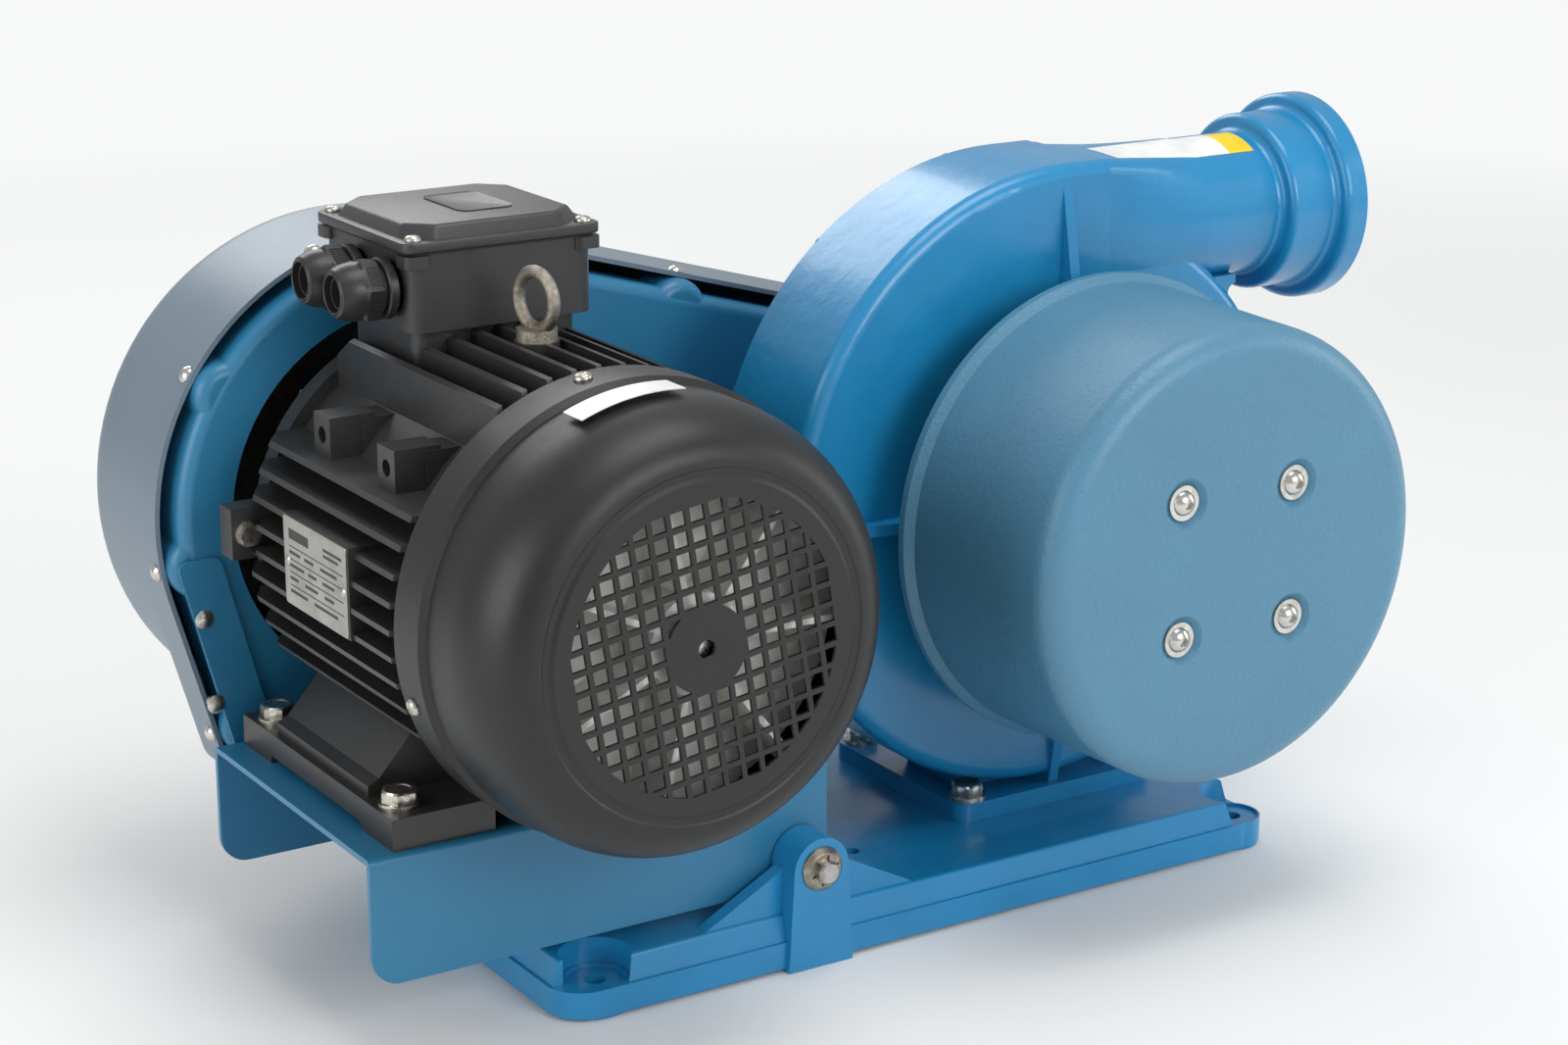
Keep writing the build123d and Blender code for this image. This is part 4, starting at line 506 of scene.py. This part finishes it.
def bevelEdges(bm, edges, size, steps):
    bm.normal_update()
    return bmesh.ops.bevel(
        bm, geom=edges, offset=size, offset_type="OFFSET", segments=steps, profile=0.5, affect="EDGES",
        material=-1, clamp_overlap=True,
    )["faces"]


def addPiece(name, bm, paint, body, replaced=(), sharp=35):
    bmesh.ops.remove_doubles(bm, verts=bm.verts, dist=1e-6)
    bmesh.ops.recalc_face_normals(bm, faces=bm.faces)
    mesh = bpy.data.meshes.new(name)
    bm.to_mesh(mesh)
    bm.free()
    mesh.materials.append(paint.material)
    mesh.polygons.foreach_set("use_smooth", [True] * len(mesh.polygons))
    mesh.set_sharp_from_angle(angle=math.radians(sharp))
    piece = bpy.data.objects.new(name, mesh)
    scene.collection.objects.link(piece)
    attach(piece, body)
    if replaced:
        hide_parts(*replaced)
    return piece


def cornerSpots(node, reachX, reachY):
    low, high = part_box(node)
    return [
        Vector((x, y, high.z))
        for x in (low.x + reachX, high.x - reachX)
        for y in (low.y + reachY, high.y - reachY)
    ]


# Hexagon bolts of the motor's feet and the casing's foot
footBolt = {
    "corner": 0.00924, "flat": 0.008, "head": 0.0064, "chamfer": 0.0009, "shank": 0.005,
    "faceStep": 0.0003,
}


def addHexBolts(name, node, body, spin):
    low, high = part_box(node)
    bm = bmesh.new()
    for number, spot in enumerate(cornerSpots(node, footBolt["corner"], footBolt["flat"])):
        seat = spot - Vector((0, 0, footBolt["head"]))
        shankLow = low.z - seat.z
        rings = [
            (footBolt["shank"] - 0.0008, shankLow, roundOutline),
            (footBolt["shank"], shankLow + 0.0008, roundOutline),
            (footBolt["shank"], 0.0, roundOutline),
            (footBolt["flat"] * 0.97, 0.0, roundOutline),
            (footBolt["flat"] * 0.97, footBolt["faceStep"], roundOutline),
            (footBolt["corner"] * 0.985, footBolt["faceStep"], hexOutline),
            (footBolt["corner"], footBolt["faceStep"] + 0.0003, hexOutline),
            (footBolt["corner"], footBolt["head"] - footBolt["chamfer"], hexOutline),
            (footBolt["flat"] * 0.95, footBolt["head"], roundOutline),
            (footBolt["flat"] * 0.72, footBolt["head"], roundOutline),
            (footBolt["flat"] * 0.66, footBolt["head"] - 0.0004, roundOutline),
        ]
        turnRings(bm, standing(seat, (0, 0, 1), spin * number), rings, 48)
    addPiece(name, bm, paints["zinc_steel"], body, [node], 28)


addHexBolts("motorFootBolts", "motor_foot_bolts", "motor_carrier", 0.35)
addHexBolts("casingFootBolts", "volute_foot_bolts", "root", 0.22)

# Cross-head screws of the lid and the cowl
pan = {"radius": 0.0042, "height": 0.0026, "recess": 0.0021, "depth": 0.0016, "shank": 0.002}
cowlPan = {"radius": 0.0045, "height": 0.0028, "recess": 0.0022, "depth": 0.0017, "shank": 0.002}


def crossScrew(bm, matrix, sizes, length):
    radius, height = sizes["radius"], sizes["height"]
    rings = [
        (sizes["shank"], -length, roundOutline),
        (sizes["shank"], 0.0, roundOutline),
        (radius * 0.98, 0.0, roundOutline),
        (radius, height * 0.25, roundOutline),
        (radius * 0.94, height * 0.58, roundOutline),
        (radius * 0.8, height * 0.84, roundOutline),
        (radius * 0.64, height * 0.97, roundOutline),
        (sizes["recess"], height, crossOutline),
        (sizes["recess"] * 0.92, height - 0.0002, crossOutline),
        (sizes["recess"] * 0.45, height - sizes["depth"], crossOutline),
    ]
    turnRings(bm, matrix, rings, 48)


def addLidScrews():
    low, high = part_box("lid_screws")
    bm = bmesh.new()
    for number, spot in enumerate(cornerSpots("lid_screws", pan["radius"], pan["radius"])):
        seat = spot - Vector((0, 0, pan["height"]))
        crossScrew(bm, standing(seat, (0, 0, 1), 0.4 + 0.7 * number), pan, seat.z - low.z)
    addPiece("lidScrews", bm, paints["zinc_steel"], "motor_carrier", ["lid_screws"], 30)


cowlScrewAngles = (99, 196, 279, 16)


def addCowlScrews():
    low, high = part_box("fan_cowl")
    axisX, axisZ = (low.x + high.x) / 2, (low.z + high.z) / 2
    reach = (high.x - low.x) / 2
    depth = sum(corner.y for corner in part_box("cowl_screws")) / 2
    bm = bmesh.new()
    for number, degrees in enumerate(cowlScrewAngles):
        angle = math.radians(degrees)
        outward = Vector((math.cos(angle), 0, math.sin(angle)))
        seat = Vector((axisX, depth, axisZ)) + outward * reach
        crossScrew(bm, standing(seat, outward, 0.5 + 0.8 * number), cowlPan, 0.011)
    addPiece("cowlScrews", bm, paints["zinc_steel"], "motor_carrier", ["cowl_screws"], 30)


addLidScrews()
addCowlScrews()
print("bolts and screws made")

# Terminal box lid, with a plain raised panel on top
lid = {
    "flange": 0.005, "corner": 0.007, "softEdge": 0.0007, "inset": 0.004, "slope": 0.0046,
    "cut": 0.0135, "soft": 0.0018, "sunk": 0.001,
}
lidPanel = {
    "along": 0.030, "across": 0.046, "shift": 0.006, "rise": 0.0006, "corner": 0.006, "line": 0.0012,
    "sunk": 0.0008, "floorShare": 0.8,
}


def addLid():
    low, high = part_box("terminal_lid")
    seam = low.z + lid["flange"]
    bm = bmesh.new()
    addBlock(bm, low, (high.x, high.y, seam), lid["corner"], lid["softEdge"], 6)
    inset = Vector((lid["inset"], lid["inset"], 0))
    raisedLow = Vector((low.x, low.y, seam - lid["sunk"])) + inset
    raised = addBlock(bm, raisedLow, Vector(high) - inset, lid["cut"], 0, 1)
    top = [vert for vert in raised if vert.co.z > high.z - 1e-5]
    middle = (Vector(low) + Vector(high)) / 2
    halfX, halfY = (high.x - low.x) / 2 - lid["inset"], (high.y - low.y) / 2 - lid["inset"]
    share = Vector(((halfX - lid["slope"]) / halfX, (halfY - lid["slope"]) / halfY, 1))
    bmesh.ops.scale(bm, vec=share, verts=top, space=Matrix.Translation(-middle))
    edges = {edge for vert in top for edge in vert.link_edges}
    bevelEdges(bm, list(edges), lid["soft"], 4)
    addPiece("terminalBoxLid", bm, paints["box_grey"], "motor_carrier", ["terminal_lid"], 40)
    bm = bmesh.new()
    centre = Vector((middle.x + lidPanel["shift"], middle.y, high.z))
    half = Vector((lidPanel["along"], lidPanel["across"], 0)) / 2
    frameLow = centre - half - Vector((0, 0, lidPanel["sunk"]))
    frameHigh = centre + half + Vector((0, 0, lidPanel["rise"]))
    verts = addBlock(bm, frameLow, frameHigh, lidPanel["corner"], 0, 6)
    faces = {face for vert in verts for face in vert.link_faces if face.normal.z > 0.9}
    bmesh.ops.inset_region(bm, faces=list(faces), thickness=lidPanel["line"], use_even_offset=True)
    inner = [face for face in faces if face.is_valid]
    sunken = list({vert for face in inner for vert in face.verts})
    bmesh.ops.translate(bm, vec=(0, 0, -lidPanel["rise"] * lidPanel["floorShare"]), verts=sunken)
    addPiece("lidPanelRim", bm, paints["box_grey"], "motor_carrier", (), 40)


addLid()
print("lid made")

# Cable glands: flange, ribbed hexagon nut, domed nose and rubber seal
gland = {
    "flange": 0.0150, "flangeDepth": 0.005, "neck": 0.0120, "nutStart": 0.0052, "nutEnd": 0.017,
    "corner": 0.0164,
    "bore": 0.0090, "seal": 0.0070, "reach": 0.0320, "ribs": 9, "ribWidth": 0.0005, "ribGap": 0.0012,
    "ribRise": 0.00045,
}


def addGlands():
    low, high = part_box("gland_nuts")
    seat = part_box("terminal_box")[0].x
    middle = (low.z + high.z) / 2
    flat = gland["corner"] * math.cos(math.pi / 6)
    ys = (low.y + gland["corner"], high.y - gland["corner"])
    reach = seat - low.x
    nuts, seals = bmesh.new(), bmesh.new()
    for number, y in enumerate(ys):
        matrix = standing((seat, y, middle), (-1, 0, 0), 0.15 + 0.3 * number)
        flangeRings = [
            (gland["bore"], -0.003, roundOutline),
            (gland["flange"] - 0.0004, 0.0, roundOutline),
            (gland["flange"], 0.0004, roundOutline),
            (gland["flange"], gland["flangeDepth"] - 0.0008, roundOutline),
            (gland["flange"] - 0.0008, gland["flangeDepth"], roundOutline),
            (gland["neck"], gland["flangeDepth"], roundOutline),
            (gland["neck"], gland["flangeDepth"] + 0.003, roundOutline),
        ]
        turnRings(nuts, matrix, flangeRings, 48)
        start, end = gland["nutStart"] + 0.0016, gland["nutEnd"]
        nutRings = [
            (gland["neck"] - 0.001, start, roundOutline),
            (flat * 0.97, start, roundOutline),
            (gland["corner"] * 0.99, start + 0.0012, hexOutline),
            (gland["corner"], start + 0.002, hexOutline),
            (gland["corner"], end - 0.0012, hexOutline),
            (flat * 1.0, end, roundOutline),
            (flat * 1.0, end + 0.002, roundOutline),
            (flat * 0.975, end + 0.0046, roundOutline),
            (flat * 0.91, end + 0.0078, roundOutline),
            (flat * 0.81, end + 0.0108, roundOutline),
            (flat * 0.71, reach - 0.0006, roundOutline),
            (flat * 0.675, reach, roundOutline),
            (gland["bore"], reach - 0.0004, roundOutline),
            (gland["bore"], end - 0.004, roundOutline),
        ]
        turnRings(nuts, matrix, nutRings, 48)
        for side in range(6):
            for rib in range(gland["ribs"]):
                across = (rib - (gland["ribs"] - 1) / 2) * gland["ribGap"]
                turn = Matrix.Rotation(math.radians(30 + 60 * side), 4, "Z")
                length = end - start - 0.004
                shift = Matrix.Translation((flat, across, (start + end) / 2 - 0.0005))
                size = Matrix.Diagonal((gland["ribRise"] * 2, gland["ribWidth"], length, 1))
                bmesh.ops.create_cube(nuts, size=1, matrix=matrix @ turn @ shift @ size)
        sealRings = [
            (gland["seal"], end - 0.0045, roundOutline),
            (gland["bore"] - 0.0002, end - 0.0045, roundOutline),
            (gland["bore"] - 0.0002, reach - 0.0040, roundOutline),
            (gland["bore"] - 0.0012, reach - 0.0030, roundOutline),
            (gland["seal"], reach - 0.0032, roundOutline),
            (gland["seal"], end - 0.003, roundOutline),
        ]
        turnRings(seals, matrix, sealRings, 32)
    replacedNuts = ["gland_nuts", "gland_bodies"]
    plastic, rubber = paints["gland_plastic"], paints["black_rubber"]
    addPiece("glandNuts", nuts, plastic, "motor_carrier", replacedNuts, 32)
    addPiece("glandSeals", seals, rubber, "motor_carrier", ["gland_seals"], 32)


addGlands()
print("glands made")

# Push-on caps of the pivot rod, with six slots round the rod's end
starCap = {
    "radius": 0.01175, "rim": 0.0011, "dome": 0.0036, "hole": 0.0052, "slotReach": 0.0083,
    "slotHalf": 0.13, "rod": 0.0044, "bore": 0.0061,
}


def slotOutline(angle):
    # six narrow slots out of a round hole; the ring's radius is the slots' reach
    away = abs((angle + math.pi / 6) % (math.pi / 3) - math.pi / 6)
    return 1.0 if away < starCap["slotHalf"] else starCap["hole"] / starCap["slotReach"]


def addStarCaps():
    low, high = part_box("pivot_caps")
    middle = (Vector(low) + Vector(high)) / 2
    bm = bmesh.new()
    for y, side in ((low.y + starCap["dome"], -1), (high.y - starCap["dome"], 1)):
        rings = [
            (starCap["bore"], 0.0, roundOutline),
            (starCap["radius"] - 0.0003, 0.0, roundOutline),
            (starCap["radius"], 0.0004, roundOutline),
            (starCap["radius"] - 0.0002, starCap["rim"], roundOutline),
            (starCap["radius"] * 0.88, starCap["dome"] * 0.62, roundOutline),
            (starCap["radius"] * 0.8, starCap["dome"] * 0.9, roundOutline),
            (starCap["radius"] * 0.75, starCap["dome"], roundOutline),
            (starCap["slotReach"], starCap["dome"], slotOutline),
            (starCap["slotReach"] * 0.97, starCap["dome"] - 0.0012, slotOutline),
            (starCap["rod"], starCap["dome"] - 0.0013, roundOutline),
            (starCap["rod"], starCap["dome"] - 0.0005, roundOutline),
            (starCap["rod"] * 0.85, starCap["dome"] - 0.0001, roundOutline),
        ]
        turnRings(bm, standing((middle.x, y, middle.z), (0, side, 0), 0.3), rings, 96)
    addPiece("starCaps", bm, paints["cap_steel"], "root", ["pivot_caps"], 30)


addStarCaps()

# Labels, all without lettering: a ruled rating plate, a plain place on the cowl
# and a strip with a yellow end on the outlet
labelLooks = {
    "labelWhite": {"colour": (0.80, 0.80, 0.79), "rough": 0.38, "depth": 0.00002},
    "labelYellow": {"colour": (0.92, 0.62, 0.01), "rough": 0.38, "depth": 0.00002},
    "labelInk": {"colour": (0.035, 0.035, 0.036), "rough": 0.5, "depth": 0.00002},
}
labelPaints = {name: mouldedPlastic(name, look) for name, look in labelLooks.items()}
plateBar = {"sideMargin": 0.001, "topMargin": 0.0015, "proud": 0.00012, "sunk": 0.0003}
plateBars = [
    # from the plate's rear end and its top, width and height, in millimetres
    (5, 4, 22, 5), (44, 4.5, 20, 1.4), (44, 7.5, 16, 1.4), (5, 12.5, 60, 0.5), (5, 15, 12, 1.5),
    (22, 15, 10, 1.5), (40, 15, 18, 1.5), (5, 19, 60, 0.5), (5, 21.5, 16, 1.5), (26, 21.5, 9, 1.5),
    (42, 21.5, 13, 1.5), (5, 25.5, 60, 0.5), (5, 28, 9, 1.5), (22, 28, 14, 1.5), (44, 28, 10, 1.5),
    (5, 32, 60, 0.5), (5, 34.5, 19, 1.5), (32, 34.5, 26, 1.5),
]


def addPlateBars():
    low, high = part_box("rating_plate")
    bm = bmesh.new()
    for along, down, width, height in plateBars:
        near = high.y - plateBar["sideMargin"] - along / 1000
        top = high.z - plateBar["topMargin"] - down / 1000
        barLow = (low.x - plateBar["proud"], near - width / 1000, top - height / 1000)
        addBlock(bm, barLow, (low.x + plateBar["sunk"], near, top))
    addPiece("ratingPlateBars", bm, labelPaints["labelInk"], "motor_carrier")


skinSunk = 0.0003


def addSkin(name, paint, body, place, columns, rows, thickness):
    # a thin sheet on a curved surface: place(u, v) gives a point and the outward direction there
    bm = bmesh.new()
    outer, inner = [], []
    for row in range(rows + 1):
        for column in range(columns + 1):
            point, outward = place(column / columns, row / rows)
            outer.append(bm.verts.new(point + outward * thickness))
            inner.append(bm.verts.new(point - outward * skinSunk))
    wide = columns + 1
    for row in range(rows):
        for column in range(columns):
            a = row * wide + column
            corners = (a, a + 1, a + wide + 1, a + wide)
            bm.faces.new([outer[k] for k in corners])
            bm.faces.new([inner[k] for k in reversed(corners)])
    border = [*range(columns), *[k * wide + columns for k in range(rows)]]
    border += [rows * wide + k for k in range(columns, 0, -1)] + [k * wide for k in range(rows, 0, -1)]
    for first, second in zip(border, border[1:] + border[:1]):
        bm.faces.new((outer[second], outer[first], inner[first], inner[second]))
    return addPiece(name, bm, paint, body, (), 50)


cowlLabel = {"from": 112, "to": 84, "front": -0.158, "rear": -0.141, "rise": 0.0002}
outletLabel = {
    "from": 0.150, "change": 0.230, "to": 0.247, "startAngle": 1, "endAngle": -34, "rise": 0.0002,
    "shoot": 0.075,
}


def addCowlLabel():
    low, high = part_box("fan_cowl")
    axisX, axisZ = (low.x + high.x) / 2, (low.z + high.z) / 2
    reach = (high.x - low.x) / 2

    def place(u, v):
        angle = math.radians(cowlLabel["from"] + (cowlLabel["to"] - cowlLabel["from"]) * u)
        outward = Vector((math.cos(angle), 0, math.sin(angle)))
        depth = cowlLabel["front"] + (cowlLabel["rear"] - cowlLabel["front"]) * v
        return Vector((axisX, depth, axisZ)) + outward * reach, outward

    addSkin("cowlLabel", labelPaints["labelWhite"], "motor_carrier", place, 40, 4, cowlLabel["rise"])


def addOutletLabels():
    casing = nodes["volute_casing"]
    tree = BVHTree.FromPolygons(
        [casing.matrix_world @ vert.co for vert in casing.data.vertices],
        [tuple(face.vertices) for face in casing.data.polygons],
    )
    socket = next(mount for mount in frame["record"]["mounts"] if mount["name"] == "outlet_socket")
    axisY, axisZ = socket["pos_m"][1], socket["pos_m"][2]

    def strip(start, end):
        def place(u, v):
            share = outletLabel["startAngle"] + (outletLabel["endAngle"] - outletLabel["startAngle"]) * v
            angle = math.radians(share)
            outward = Vector((0, math.sin(angle), math.cos(angle)))
            origin = Vector((start + (end - start) * u, axisY, axisZ)) + outward * outletLabel["shoot"]
            hit = tree.ray_cast(origin, -outward)[0]
            return hit, outward

        return place

    first = strip(outletLabel["from"], outletLabel["change"])
    addSkin("outletLabelWhite", labelPaints["labelWhite"], "root", first, 48, 24, outletLabel["rise"])
    second = strip(outletLabel["change"], outletLabel["to"])
    addSkin("outletLabelYellow", labelPaints["labelYellow"], "root", second, 12, 24, outletLabel["rise"])


addPlateBars()
addCowlLabel()
addOutletLabels()
print("caps and labels made")

print("done")
